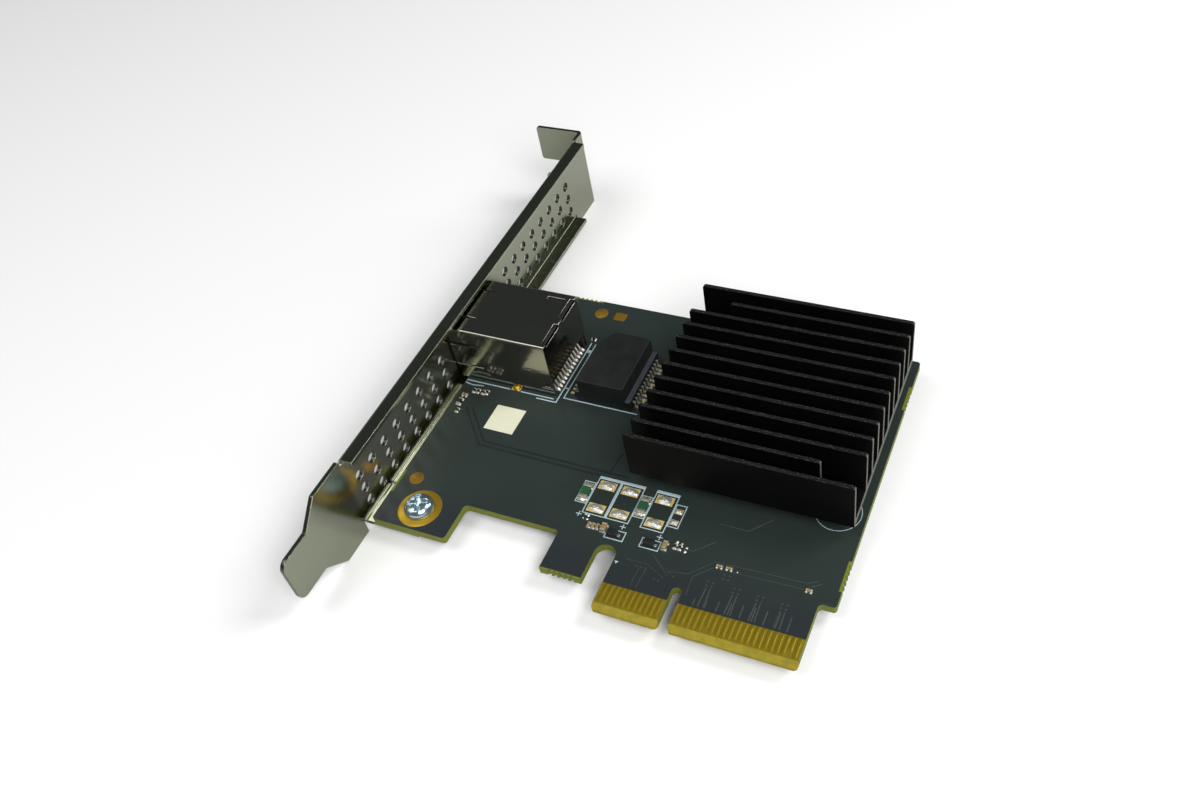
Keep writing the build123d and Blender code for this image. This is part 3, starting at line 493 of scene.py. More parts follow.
@dataclass(frozen=True)
class CaseFinish(Finish):
    """Moulded epoxy with a step low on the case, where the mould closed, whose upward faces are painted paler and
    bluish: a painted sheen.
    """

    ledge_z: float = 2.4
    # Painted sheen: a paler bluish colour on the step's upward faces.
    painted_ledge_sheen: str = "#3d444a"

    def look(self, tree: bpy.types.NodeTree, place: Socket) -> Look:
        """Draws the case and the painted sheen on the upward faces of its low step.

        Args:
            tree: The material's node tree.
            place: The object coordinates, in metres.

        Returns:
            The colour, roughness, metallic value and normal.
        """
        plain = super().look(tree, place)
        height = add(tree, "ShaderNodeSeparateXYZ", {0: place}).outputs[2]
        low = Limit(height, self.ledge_z * MM, 0.02 * MM, above=False)
        # Upward faces low on the case, where the painted sheen lies.
        painted_ledge_sheen = zone(tree, low, Limit(facing(tree, 2), 0.8, 0.1))
        ends = {0: painted_ledge_sheen, 6: plain.colour, 7: linear(self.painted_ledge_sheen)}
        colour = add(tree, "ShaderNodeMix", ends, data_type="RGBA").outputs[2]
        return Look(colour, plain.roughness, 0.0, plain.normal)


# Dark green-black solder mask: a smooth lacquer over copper, softly glossy.
BOARD = BoardFinish(
    "solder_mask_on_glass_epoxy", "#222a28", "#28322e", 14.0,
    roughness=0.42, specular=0.32, grain_mm=0.5, grain_depth=0.05,
)
# Mask over copper edges and traces: the same lacquer, raised and a shade paler.
RELIEF = Finish("solder_mask_over_copper", "#28322f", "#313b38", 5.0, roughness=0.4, specular=0.35)
# The same lacquer sunk beside a trace, where it lies on bare laminate and looks darker.
SUNK = Finish("solder_mask_over_laminate", "#192022", "#1f2627", 5.0, roughness=0.42, specular=0.3)
# Screen-printed epoxy ink, pale and faintly blue, a little uneven in thickness.
INK = Finish("printed_epoxy_ink", "#8fa6ad", "#a6b9be", 3.0, roughness=0.6, grain_mm=0.2)
# Hard gold over nickel on the contacts: olive yellow and satin, with fine scuffs along Y.
GOLD = Finish(
    "hard_gold_plate", "#9a8416", "#7a680e", 1.5, 0.7, 0.44, 0.08,
    grain_mm=0.2, grain_depth=0.2, stretch=(1.0, 0.2, 1.0),
)
# The same gold, thinner, on the rings that the screws clamp: warmer, with a fine grain.
RING_GOLD = Finish("plated_screw_ring", "#b8962a", "#9c7c20", 2.5, 0.75, 0.4, 0.08, grain_mm=0.25, grain_depth=0.15)
# Bare copper under a thin preservative on the test pads: orange-brown and dull.
BRONZE_PAD = Finish(
    "preserved_bare_copper", "#a07c2c", "#8a6820", 1.0, 0.7, 0.45, 0.08,
    grain_mm=0.25, grain_depth=0.15,
)
# Thin immersion gold on copper pads: paler and flatter than the contacts.
PAD_GOLD = Finish("immersion_gold", "#d6c27c", "#c4ab5e", 2.0, 0.3, 0.5, 0.08, grain_mm=0.3)
# Tin-silver solder: pale, softly shining, with a crystalline frost.
SOLDER = Finish("tin_silver_solder", "#dedcd2", "#b9b7ad", 0.6, 0.75, 0.42, 0.1, grain_mm=0.25, grain_depth=0.3)
# Solder with flux left on it, warm and amber.
AMBER_SOLDER = Finish(
    "fluxed_solder", "#d2a83a", "#9c7620", 0.7, 0.8, 0.34, 0.1,
    grain_mm=0.25, grain_depth=0.3,
)
# Nickel-plated sheet steel: a warm grey, blurred mirror with faint rolling lines along the plate.
BRACKET_METAL = SheetFinish(
    "nickel_plated_steel", "#7d8170", "#8b8e7e", 12.0, 1.0, 0.2, 0.06,
    grain_mm=0.6, grain_depth=0.05, stretch=(1.0, 0.12, 1.0),
)
# Nickel-plated brass of the port's shield: thinner sheet, a sharper mirror.
SHIELD = Finish(
    "nickel_plated_brass", "#8c8a80", "#9b998f", 9.0, 1.0, 0.14, 0.04,
    grain_mm=0.7, grain_depth=0.04, stretch=(0.2, 1.0, 1.0),
)
# Blue passivated zinc on the screws: cold, smooth and bright.
ZINC = Finish("blue_zinc_plate", "#bdd0d9", "#a0b4be", 1.2, 0.92, 0.2, 0.05, grain_depth=0.0)
# Black anodised aluminium: deep black with a fine satin skin.
ANODISED = SinkFinish(
    "black_anodised_aluminium", "#030303", "#060606", 6.0,
    roughness=0.45, specular=0.1, grain_mm=0.25, grain_depth=0.12,
)
# Moulded epoxy compound of the transformer: matt black with a fine sandy grain.
EPOXY = CaseFinish(
    "moulded_black_epoxy", "#0c0d0d", "#111212", 3.0,
    roughness=0.5, specular=0.45, grain_mm=0.18, grain_depth=0.3,
)
# Epoxy of small chips, smoother than the transformer's.
CHIP = Finish("chip_epoxy", "#151617", "#1d1e1f", 2.0, roughness=0.48, specular=0.4, grain_mm=0.15, grain_depth=0.2)
# Glass-filled nylon of the port's insert: black and waxy.
INSERT = Finish("glass_filled_nylon", "#141516", "#1c1d1e", 3.0, roughness=0.45, grain_mm=0.3, grain_depth=0.2)
# Black nylon of the push pins: deep black and dull.
NYLON = Finish("black_nylon", "#050505", "#080808", 2.0, roughness=0.45, specular=0.2, grain_mm=0.3)
# Barium titanate ceramic of the capacitors: tan and matt.
CERAMIC = Finish("capacitor_ceramic", "#8d7440", "#7a6236", 0.8, roughness=0.5, grain_mm=0.15)
# Black glass over the resistors' element: dark and shiny.
GLASS = Finish("resistor_glass", "#151618", "#1f2022", 0.8, roughness=0.25, grain_mm=0.2, grain_depth=0.05)
# Green overglaze of the surface fuses: deep green, half glossy.
GREEN = Finish("green_overglaze", "#1e4a2c", "#2b5a38", 1.0, roughness=0.35, grain_mm=0.2)
# Matt tin on leads and part ends: pale grey with a soft shine.
TIN = Finish("matt_tin_plate", "#c2c0b2", "#a4a297", 0.8, 0.75, 0.45, 0.08, grain_mm=0.2, grain_depth=0.2)
# Uncoated label paper: cream and matt, with fine fibres.
PAPER = Finish("label_paper", "#c9c8ae", "#d3d2ba", 2.5, roughness=0.75, grain_mm=0.12, grain_depth=0.2)
# Silicone of the thermal pad: grey and chalky.
SILICONE = Finish("thermal_silicone", "#7d8287", "#8b9095", 2.0, roughness=0.8, grain_mm=0.3)
# Nickel of the controller's lid and the crystal's can: satin grey metal.
CAN = Finish("satin_nickel_lid", "#9a9a94", "#8a8a84", 3.0, 1.0, 0.35, 0.05, grain_mm=0.3)
# Frosted acrylic of the light windows: dull grey-green when unlit.
WINDOW = Finish("frosted_acrylic", "#8f9a6a", "#a2ab7c", 2.0, roughness=0.3, grain_mm=0.3, grain_depth=0.05)
# Music wire of the pin springs: bright drawn steel.
WIRE = Finish("spring_steel_wire", "#a6a6a2", "#8c8c88", 1.0, 1.0, 0.3, 0.05, grain_mm=0.2)


@dataclass
class Form:
    """A mesh in the making: points in millimetres and faces of four corners."""

    points: Array
    faces: Array

    @classmethod
    def grid(cls, rows: Array, wrap_rows: bool = False, wrap_columns: bool = False) -> Form:
        """Joins a grid of points with four-cornered faces.

        Face (i, j) takes the points (i, j), (i, j+1), (i+1, j+1) and (i+1, j).

        Args:
            rows: Points of shape (rows, columns, 3).
            wrap_rows: Whether the last row joins the first.
            wrap_columns: Whether the last column joins the first.

        Returns:
            The form.
        """
        count, across = rows.shape[:2]
        i = np.arange(count if wrap_rows else count - 1)[:, None]
        j = np.arange(across if wrap_columns else across - 1)[None, :]
        corner = (i * across + j, i * across + (j + 1) % across)
        after = ((i + 1) % count * across + (j + 1) % across, (i + 1) % count * across + j)
        faces = np.stack([np.broadcast_to(c, (len(i), j.shape[1])) for c in (*corner, *after)], -1)
        return cls(rows.reshape(-1, 3), faces.reshape(-1, 4))

    def copies(self, places: Array, turns: Array | None = None, scale: Array | None = None) -> Form:
        """Repeats the form at several places.

        Each copy's point is R(turn) (scale p) + place, with R a turn about Z.

        Args:
            places: Centres of shape (n, 3).
            turns: An angle about Z for each, in radians.
            scale: Three factors for each, shape (n, 3).

        Returns:
            All the copies as one form.
        """
        places = np.asarray(places, float).reshape(-1, 3)
        turns = np.zeros(len(places)) if turns is None else np.asarray(turns, float)
        sized = self.points[None] if scale is None else self.points[None] * np.asarray(scale, float)[:, None]
        cos, sin = np.cos(turns)[:, None], np.sin(turns)[:, None]
        x = sized[..., 0] * cos - sized[..., 1] * sin
        y = sized[..., 0] * sin + sized[..., 1] * cos
        z = np.broadcast_to(sized[..., 2], x.shape)
        points = np.stack([x, y, z], -1) + places[:, None]
        step = np.arange(len(places))[:, None, None] * len(self.points)
        return Form(points.reshape(-1, 3), (self.faces[None] + step).reshape(-1, 4))

    def flipped(self, level: float) -> Form:
        """The form mirrored to the other side of the board: z becomes level - z, faces turned back."""
        points = self.points * (1, 1, -1) + (0, 0, level)
        return Form(points, self.faces[:, ::-1])

    def moved(self, x: float = 0.0, y: float = 0.0, z: float = 0.0) -> Form:
        """The form at another place."""
        return Form(self.points + (x, y, z), self.faces)

    def show(self, name: str, finish: Finish, shade: Shade = Shade.SMOOTH) -> bpy.types.Object:
        """Makes the form a Blender object that rides on the card.

        Args:
            name: The piece's name.
            finish: Its finish.
            shade: How its faces meet.

        Returns:
            The object, with its place in its mesh.
        """
        mesh = bpy.data.meshes.new(name)
        mesh.from_pydata((self.points * MM).tolist(), [], self.faces.tolist())
        mesh.validate()
        return dress(mesh, name, finish, shade)


def dress(mesh: bpy.types.Mesh, name: str, finish: Finish, shade: Shade, ease: float = 0.0) -> bpy.types.Object:
    """Gives a mesh its object, finish, shading and body.

    Doubled points are merged first, so that poles and seams close.

    Args:
        mesh: The mesh, in metres.
        name: The piece's name.
        finish: Its finish.
        shade: How its faces meet.
        ease: The width that its sharp edges are eased by, in millimetres.

    Returns:
        The object.
    """
    work = bmesh.new()
    work.from_mesh(mesh)
    bmesh.ops.remove_doubles(work, verts=work.verts, dist=2e-6 if ease else 1e-7)
    bmesh.ops.dissolve_degenerate(work, edges=work.edges, dist=1e-8)
    if ease:
        bmesh.ops.dissolve_limit(work, angle_limit=math.radians(0.6), verts=work.verts, edges=work.edges)
    work.to_mesh(mesh)
    work.free()
    mesh.shade_smooth()
    mesh.materials.clear()
    mesh.materials.append(finish.material())
    piece = bpy.data.objects.new(name, mesh)
    bpy.context.scene.collection.objects.link(piece)
    if ease:
        bevel = piece.modifiers.new("eased_edges", "BEVEL")
        bevel.width, bevel.segments = ease * MM, 2
        bevel.limit_method, bevel.angle_limit = "ANGLE", math.radians(35)
        bevel.use_clamp_overlap = False
    if shade is Shade.WEIGHTED:
        weighted = piece.modifiers.new("flat_faces", "WEIGHTED_NORMAL")
        weighted.mode, weighted.weight = "FACE_AREA", 100
    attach(piece, BODY)
    LOG.info("%s: %d faces, %s", name, len(mesh.polygons), finish.name)
    return piece


def join(forms: list[Form]) -> Form:
    """Joins several forms, each one's face numbers moved on by the points before it.

    Args:
        forms: The forms.

    Returns:
        One form.
    """
    start = np.cumsum([0] + [len(form.points) for form in forms[:-1]])
    faces = [form.faces + step for form, step in zip(forms, start)]
    return Form(np.vstack([form.points for form in forms]), np.vstack(faces))


def ribbon(path: list[tuple[float, float]], width: float, height: float, closed: bool = False) -> Form:
    """A flat strip on the board: a low trapezium carried along a line of straight runs.

    At each corner the sides move along the mitre m = (n1 + n2) / (1 + n1.n2), with n1 and n2 the
    unit normals of the two runs.

    Args:
        path: The corners in X and Y.
        width: The strip's width at its foot.
        height: Its height over the board.
        closed: Whether it runs round to its start.

    Returns:
        The strip.
    """
    line = np.array(path, float)
    after = np.roll(line, -1, 0) - line
    before = np.roll(after, 1, 0)
    if not closed:
        after[-1], before[0] = after[-2], after[0]
    normal = [np.stack([-d[:, 1], d[:, 0]], -1) / np.linalg.norm(d, axis=1)[:, None] for d in (before, after)]
    share = 1 + np.clip((normal[0] * normal[1]).sum(1), -0.8, 1)
    mitre = (normal[0] + normal[1]) / share[:, None]
    section = np.array([(-0.5, 0), (-0.36, 1), (0.36, 1), (0.5, 0)])
    across = line[:, None] + mitre[:, None] * (section[None, :, :1] * width)
    level = np.broadcast_to(section[None, :, 1:] * height, (len(line), 4, 1))
    rows = np.concatenate([across, level], -1)
    strip = Form.grid(rows, wrap_rows=closed)
    return Form(strip.points, strip.faces[:, ::-1])


def lathe(profile: list[tuple[float, float]], sides: int = 40) -> Form:
    """Turns a profile about Z: (r cos t, r sin t, z) for each point (r, z) and t round the circle.

    Args:
        profile: The points (r, z).
        sides: The number of points round it.

    Returns:
        The turned form.
    """
    shape = np.array(profile, float)
    angle = np.linspace(0, 2 * math.pi, sides, endpoint=False)
    round_x = shape[:, :1] * np.cos(angle)
    round_y = shape[:, :1] * np.sin(angle)
    level = np.broadcast_to(shape[:, 1:], round_x.shape)
    return Form.grid(np.stack([round_x, round_y, level], -1), wrap_columns=True)


def cushion(
    half_x: float, half_y: float, height: float, square: float = 6.0, sides: int = 32, swell: float = 5.0
) -> Form:
    """A low body with a rounded plan and eased top edges.

    The plan is a superellipse, |x/a|^n + |y/b|^n = 1, shrunk by s from nought to one, and the top
    is z = h (1 - s^k), which stays flat for a large k and domes for a small one.

    Args:
        half_x: Half its length in X.
        half_y: Half its length in Y.
        height: Its height.
        square: The power n, larger for squarer corners.
        sides: The number of points round it.
        swell: The power k.

    Returns:
        The body, open below, standing on z = 0.
    """
    angle = np.linspace(0, 2 * math.pi, sides, endpoint=False) + math.pi / sides
    rim = [np.sign(f) * np.abs(f) ** (2 / square) for f in (np.cos(angle), np.sin(angle))]
    shrink = np.array([0.0, 0.5, 0.8, 0.9, 0.96, 0.99, 1.0])[::-1, None]
    x, y = half_x * shrink * rim[0], half_y * shrink * rim[1]
    z = np.broadcast_to(height * (1 - shrink**swell), x.shape)
    return Form.grid(np.stack([x, y, z], -1), wrap_columns=True)


def mound(half_x: float, half_y: float, height: float, seed: int, square: float = 2.6, lumps: float = 0.3) -> Form:
    """A blob of solder that has wet a pad.

    The plan is a superellipse with a few slow waves in its reach, shrunk by s from one to nought,
    and z = h (1 - s^2)^0.8 (1 + lumps s w), with w a sum of waves round the blob.

    Args:
        half_x: Half its length in X.
        half_y: Half its length in Y.
        height: Its height.
        seed: The number that its waves come from.
        square: The plan's power, larger for squarer corners.
        lumps: How uneven its top is.

    Returns:
        The blob, open below, standing on z = 0.
    """
    chance = np.random.default_rng(seed)
    angle = np.linspace(0, 2 * math.pi, 28, endpoint=False)
    shrink = np.linspace(1, 0, 9)[:, None]
    phase = chance.uniform(0, 2 * math.pi, 4)
    reach = (np.abs(np.cos(angle)) ** square + np.abs(np.sin(angle)) ** square) ** (-1 / square)
    reach = reach * (1 + 0.08 * np.sin(2 * angle + phase[0]) + 0.06 * np.sin(3 * angle + phase[1]))
    wave = np.sin(3 * angle + 5 * shrink + phase[2]) * 0.6 + np.sin(5 * angle - 7 * shrink + phase[3]) * 0.4
    x, y = half_x * shrink * reach * np.cos(angle), half_y * shrink * reach * np.sin(angle)
    z = height * (1 - shrink**2) ** 0.8 * (1 + lumps * wave * shrink)
    return Form.grid(np.stack([x, y, z], -1), wrap_columns=True)


def slab(width: float, depth: float, height: float, ease: float, steps: int = 3) -> Form:
    """A box with rounded edges and corners, standing on z = 0 about its middle.

    Its plan is a smaller rectangle plus rho (cos a, sin a) at each corner, and up the wall
    rho = r sin t with z = r (1 - cos t), then rho = r cos t with z = h - r + r sin t.

    Args:
        width: Its size in X.
        depth: Its size in Y.
        height: Its size in Z.
        ease: The radius r of its edges.
        steps: Points in each quarter turn.

    Returns:
        The closed body.
    """
    r = min(ease, 0.45 * min(width, depth, height))
    quarter = np.linspace(0, math.pi / 2, steps)
    corner = (quarter + np.arange(4)[:, None] * math.pi / 2).ravel()
    core_x = np.repeat([1, -1, -1, 1], steps) * (width / 2 - r)
    core_y = np.repeat([1, 1, -1, -1], steps) * (depth / 2 - r)
    rho = np.concatenate([r * np.sin(quarter), r * np.cos(quarter)])[:, None]
    level = np.concatenate([r * (1 - np.cos(quarter)), height - r + r * np.sin(quarter)])
    x, y = core_x + rho * np.cos(corner), core_y + rho * np.sin(corner)
    wall = np.stack([x, y, np.broadcast_to(level[:, None], x.shape)], -1)
    ends = np.zeros((2, 1, len(corner), 3))
    ends[1, ..., 2] = height
    return Form.grid(np.concatenate([ends[0], wall, ends[1]]), wrap_columns=True)


def tube(centre: Array, radius: Array, sides: int = 10) -> Form:
    """A round wire along a line: c + r (cos t u + sin t v), with u and v square to the line.

    Args:
        centre: Points c of the line, of shape (n, 3).
        radius: The wire's radius r at each point.
        sides: The number of points round it.

    Returns:
        The wire.
    """
    along = np.gradient(centre, axis=0)
    along /= np.linalg.norm(along, axis=1)[:, None]
    u = np.cross(along, (0.0, 0.0, 1.0))
    u /= np.linalg.norm(u, axis=1)[:, None]
    v = np.cross(along, u)
    angle = np.linspace(0, 2 * math.pi, sides, endpoint=False)[None, :, None]
    rows = centre[:, None] + radius[:, None, None] * (np.cos(angle) * u[:, None] + np.sin(angle) * v[:, None])
    form = Form.grid(rows, wrap_columns=True)
    return Form(form.points, form.faces[:, ::-1])


def islands(node: bpy.types.Object) -> Array:
    """The box of each solid of a CAD node.

    Points in one place share a number, and each triangle gives its lowest number to its corners
    until nothing changes.

    Args:
        node: The CAD node's object.

    Returns:
        Lowest and highest corners in millimetres, of shape (solids, 2, 3), in order of X, then Y.
    """
    mesh = node.data
    mesh.calc_loop_triangles()
    flat = np.empty(len(mesh.vertices) * 3)
    mesh.vertices.foreach_get("co", flat)
    corners = np.empty(len(mesh.loop_triangles) * 3, int)
    mesh.loop_triangles.foreach_get("vertices", corners)
    points, same = np.unique(np.round(flat.reshape(-1, 3) / MM, 3), axis=0, return_inverse=True)
    triangles = same.ravel()[corners].reshape(-1, 3)
    label = np.arange(len(points))
    while True:
        lowest = label[triangles].min(1)
        after = label.copy()
        np.minimum.at(after, triangles.ravel(), np.repeat(lowest, 3))
        if (after == label).all():
            break
        label = after
    boxes = [(points[label == k].min(0), points[label == k].max(0)) for k in np.unique(label)]
    return np.array(sorted(boxes, key=lambda box: tuple(np.round(box[0][:2], 3))))


@dataclass
class Card:
    """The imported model: its nodes by name, with ways to dress or replace them."""

    nodes: dict[str, bpy.types.Object]

    def finish(self, name: str, finish: Finish) -> None:
        """Gives a CAD node its finish and leaves its shape alone.

        Args:
            name: The node's name.
            finish: Its finish.
        """
        mesh = self.nodes[name].data
        mesh.materials.clear()
        mesh.materials.append(finish.material())
        LOG.info("%s: finish %s", name, finish.name)

    def ease(self, name: str, finish: Finish, width: float) -> bpy.types.Object:
        """Replaces a CAD node with a merged copy of itself whose sharp edges are eased."""
        piece = dress(self.nodes[name].data.copy(), name + "_skin", finish, Shade.WEIGHTED, width)
        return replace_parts(piece, name)

    def boxes(self, name: str) -> tuple[Array, Array]:
        """Measures each solid of a node.

        Args:
            name: The node's name.

        Returns:
            The middle of each solid's foot, and its size, in millimetres.
        """
        low, high = np.moveaxis(islands(self.nodes[name]), 1, 0)
        foot = (low + high) / 2
        foot[:, 2] = low[:, 2]
        return foot, high - low

    def bricks(self, name: str, finish: Finish, ease: float) -> bpy.types.Object:
        """Replaces a node of plain boxes with boxes whose edges and corners are rounded.

        Args:
            name: The node's name.
            finish: The finish of its boxes.
            ease: The radius of their edges, in millimetres.

        Returns:
            The object that takes the node's place.
        """
        feet, sizes = self.boxes(name)
        forms = [slab(*size, ease).moved(*foot) for foot, size in zip(feet, sizes)]
        piece = join(forms).show(name + "_rounded", finish, Shade.WEIGHTED)
        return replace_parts(piece, name)


@dataclass
class Laminate:
    """The circuit board: its finish, and what lies a few hundredths of a millimetre over it.

    Traces and the edges of copper fills lift the mask. Vias are dimpled bumps. White ink outlines
    the parts.
    """

    card: Card
    copper_h: float = 0.025
    ink_h: float = 0.02
    ink_w: float = 0.2
    via_r: float = 0.21
    contact_end: float = 5.6
    pair_half: float = 0.5
    via_gap: float = 0.9
    fine_w: float = 0.14
    wide_w: float = 0.3
    channel: tuple[float, float] = (0.5, 0.012)
    bar_w: float = 0.55
    plus_w: float = 0.18
    port_w: float = 0.27
    pin_ring: float = 4.0
    fine_lines: tuple = (
        ((-3, 10.5), (0.5, 11.1), (4.1, 14.7), (19.9, 15.3), (21.3, 16.2)),
        ((1.4, 10.8), (4.2, 13.6)),
        ((7.4, 13.6), (19.4, 14), (22, 15.8)),
        ((-2, 15.5), (-0.3, 15.6), (2.7, 18.5)),
        ((2, 22.3), (7.2, 22.2), (10.5, 25.7)),
        ((22.6, 12.3), (24.9, 12.5)),
        ((-10.5, 10.7), (-6.7, 10.8), (-2.8, 8.8)),
        ((-6.6, 12.9), (-3.5, 10.5), (-2.2, 10.2)),
        ((-6.7, 13), (-2.7, 9.6)),
        ((1.4, 10.8), (1.6, 7)),
        ((-7.8, 9.7), (-7.9, 6)),
        ((-6.6, 9.8), (-6.9, 5.8)),
    )
    sunk_lines: tuple = (
        ((-55.2, 34.2), (-47.8, 26.1), (-23.8, 25.9), (-17.0, 25.9)),
        ((-53.7, 34.2), (-47.3, 27.1), (-23.5, 26.9), (-17.0, 26.9)),
        ((-20.5, 31.9), (-20.9, 26.9)),
    )
    via_groups: tuple = ((17.5, 9.9), (13.3, 10.1), (9.2, 10.3), (4.6, 10.3), (6.8, 12.3))
    lone_vias: tuple = (
        (-8.4, 9.9), (-7.6, 9.9), (-6.7, 9.9), (-4.6, 8.3), (-3.8, 8.3), (-1.7, 9.8),
    )

    def lines(self, paths: tuple, width: float, height: float, closed: bool = False) -> Form:
        """Several flat strips of one width, at slightly different heights so that none meet flush."""
        rise = 1 + 0.06 * (np.arange(len(paths)) % 8)
        return join([ribbon(path, width, height * k, closed) for path, k in zip(paths, rise)])

    def relief(self) -> Form:
        """Draws traces and edges of fills, with the pairs that run from the contacts to their vias.

        Returns:
            The strips.
        """
        pairs = [
            ((x + dx, self.contact_end), (x + dx * 0.7, y - self.via_gap))
            for x, y in self.via_groups[:4]
            for dx in (-self.pair_half, self.pair_half)
        ]
        odd = [((x, self.contact_end), (x, 7.3 + 1.1 * math.sin(3 * x))) for x in np.arange(3.25, 21, 2.0)]
        wide = self.lines((*pairs, *odd), self.wide_w, self.copper_h)
        return join([self.lines(self.fine_lines, self.fine_w, self.copper_h * 0.8), wide])

    def bump(self) -> Form:
        """One bump of mask over a via, with a dimple in the middle."""
        r, h = self.via_r, self.copper_h
        return lathe([(r, 0.0), (r * 0.8, h), (r * 0.5, h), (r * 0.25, h * 0.3), (0.0, h * 0.2)], 14)

    def vias(self) -> Form:
        """The component side's via bumps."""
        grouped = [(x + dx, y + dy, 0) for x, y in self.via_groups for dx in (-0.45, 0.45) for dy in (-0.4, 0.4)]
        return self.bump().copies(grouped + [(x, y, 0) for x, y in self.lone_vias])

    def frame(self, x0: float, x1: float, y0: float, y1: float) -> tuple:
        """The corners of an outline drawn round a part."""
        return ((x0, y0), (x1, y0), (x1, y1), (x0, y1))

    def ring(self, x: float, y: float, radius: float) -> tuple:
        """The points of an outline drawn round a hole."""
        turn = np.linspace(0, 2 * math.pi, 48, endpoint=False)
        return tuple(zip(x + radius * np.cos(turn), y + radius * np.sin(turn)))

    def ink(self) -> Form:
        """Draws the white outlines, thick bars, plus marks and the card edge's pointer.

        Returns:
            The strips.
        """
        outlines = [
            self.frame(-22.1, -17.75, 17.5, 25.85),
            self.frame(-17.65, -13.3, 17.5, 25.85),
            self.frame(-10.93, -6.7, 17.5, 25.85),
            self.frame(-24.38, -22.3, 19.4, 24.13),
            self.frame(-13.1, -11.1, 19.3, 24.0),
            self.frame(-6.5, -4.6, 19.1, 23.9),
            self.frame(-16.2, -12.75, 13.7, 15.6),
            self.frame(-9.58, -6.15, 13.7, 15.6),
            ((-12.2, 9.72), (-11.8, 9.72), (-12.0, 9.42)),
        ]
        thick = [((x, 25.6), (x + 4.3, 25.6)) for x in (-22.1, -17.6, -10.95)] + [((-17.7, 17.4), (-17.7, 25.9))]
        plus = [((x - 0.55, y), (x + 0.55, y)) for x, y in ((-22.5, 17.0), (-13.8, 16.6), (-6.8, 16.5))]
        plus += [((x, y - 0.55), (x, y + 0.55)) for x, y in ((-22.5, 17.0), (-13.8, 16.6), (-6.8, 16.5))]
        port = [
            ((-58.4, 40.7), (-48.6, 40.7)),
            ((-46.2, 40.7), (-39.0, 40.7)),
            ((-58.3, 40.0), (-56.6, 39.7), (-54.2, 40.0)),
            ((-42.5, 40.0), (-38.2, 40.0), (-38.2, 56.9)),
            ((-37.2, 56.7), (-37.2, 41.5), (-21.65, 41.5)),
            ((-38.2, 44.0), (-37.2, 44.0)),
        ]
        rings = [self.ring(x, y, self.pin_ring) for x, y, _ in self.card.boxes("push_pins")[0]]
        parts = [
            self.lines(outlines, self.ink_w, self.ink_h, closed=True),
            self.lines(thick, self.bar_w, self.ink_h * 1.7),
            self.lines(plus, self.plus_w, self.ink_h),
            self.lines(port, self.port_w, self.ink_h),
            self.lines(rings, self.fine_w, self.ink_h, closed=True),
            lathe([(0.45, 0.0), (0.4, self.ink_h), (0.0, self.ink_h)], 16).moved(-37.7, 54.5),
        ]
        return join(parts)

    def dots(self) -> Form:
        """Lays small solder dots where nothing is fitted, the n-th one scaled by 0.68 + 0.2 sin(2.1 n).

        Returns:
            The dots.
        """
        spots = [
            (-21.21, 17.27), (-20.65, 17.15), (-21.38, 16.34), (-20.56, 16.3), (-3.5, 16.5), (-2.6, 16.4),
            (-1.55, 15.8), (-1.6, 15.0), (8.2, 13.8), (-21.8, 44.9), (-21.8, 48.9), (-21.8, 53.0),
        ]
        sizes = 0.68 + 0.2 * np.sin(np.arange(len(spots)) * 2.1)
        scale = np.stack([sizes, sizes * 0.9, sizes], 1)
        return mound(0.34, 0.34, 0.16, 4).copies([(x, y, 0) for x, y in spots], np.arange(len(spots)), scale)

    def under(self) -> tuple[Form, Form]:
        """Draws the solder side. Its n-th via stands at the fractional parts of 0.618034 n and 0.414214 n.

        Returns:
            Its traces and vias, and its ink, on its own face.
        """
        fans = [
            ((x, 6.0), (x, 14 + 0.25 * abs(x)), (x * 0.7 + 1.2, 22 + 0.3 * abs(x)))
            for x in np.arange(2.25, 21.5, 1.5)
        ]
        fans += [((x, 6.0), (x, 12.5), (x + 3.0, 15.5), (x + 3.0, 24.0)) for x in np.arange(-11.3, -2, 1.5)]
        fans += [
            ((-44.0, y), (-30.0, y), (-26.0 + i, y - 3), (-9.0, y - 3))
            for i, y in enumerate(np.arange(44.5, 53, 1.2))
        ]
        turn = np.arange(90)
        spread = np.stack([-40 + 62 * ((turn * 0.618034) % 1), 18 + 46 * ((turn * 0.414214) % 1), 0 * turn], 1)
        copper = join([self.lines(fans, 0.16, self.copper_h), self.bump().copies(spread)])
        boxes = [self.frame(x - 0.75, x + 0.75, y - 1.2, y + 1.2) for x, y in self.capacitor_sites()]
        boxes += [self.frame(-58.0, -38.5, 41.0, 56.8), self.frame(-8.0, 16.4, 35.5, 56.4)]
        ink = self.lines(boxes, self.ink_w, self.ink_h, closed=True)
        return copper.flipped(-BOARD_T), ink.flipped(-BOARD_T)

    def capacitor_sites(self) -> list[tuple[float, float]]:
        """Where the solder side's capacitors are."""
        return [(x, y) for x, y, _ in self.card.boxes("solder_side_capacitors")[0]]

    def build(self) -> None:
        """Dresses the board and lays its copper relief, ink and solder dots."""
        self.card.finish("circuit_board", BOARD)
        self.relief().show("mask_relief", RELIEF)
        self.lines(self.sunk_lines, *self.channel).show("trace_channel", SUNK)
        self.vias().show("via_bumps", RELIEF)
        self.ink().show("ink_outlines", INK)
        self.dots().show("pad_dots", SOLDER)
        copper, ink = self.under()
        copper.show("solder_side_relief", RELIEF)
        ink.show("solder_side_ink", INK)


@dataclass
class EdgeConnector:
    """The card edge's gold contacts, each a thin plated bar with rounded edges."""

    card: Card

    def build(self) -> None:
        """Replaces both faces' contacts with pillowed bars."""
        names = {Side.COMPONENT: "edge_contacts_component_side", Side.SOLDER: "edge_contacts_solder_side"}
        for side, name in names.items():
            feet, sizes = self.card.boxes(name)
            bar = cushion(0.5, 0.5, 1.0, square=9.0, sides=28, swell=3.2)
            if side is Side.COMPONENT:
                form = bar.copies(feet, scale=sizes)
            else:
                feet[:, 2] += sizes[:, 2]
                form = bar.flipped(0).copies(feet, scale=sizes)
            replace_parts(form.show(name + "_bars", GOLD), name)


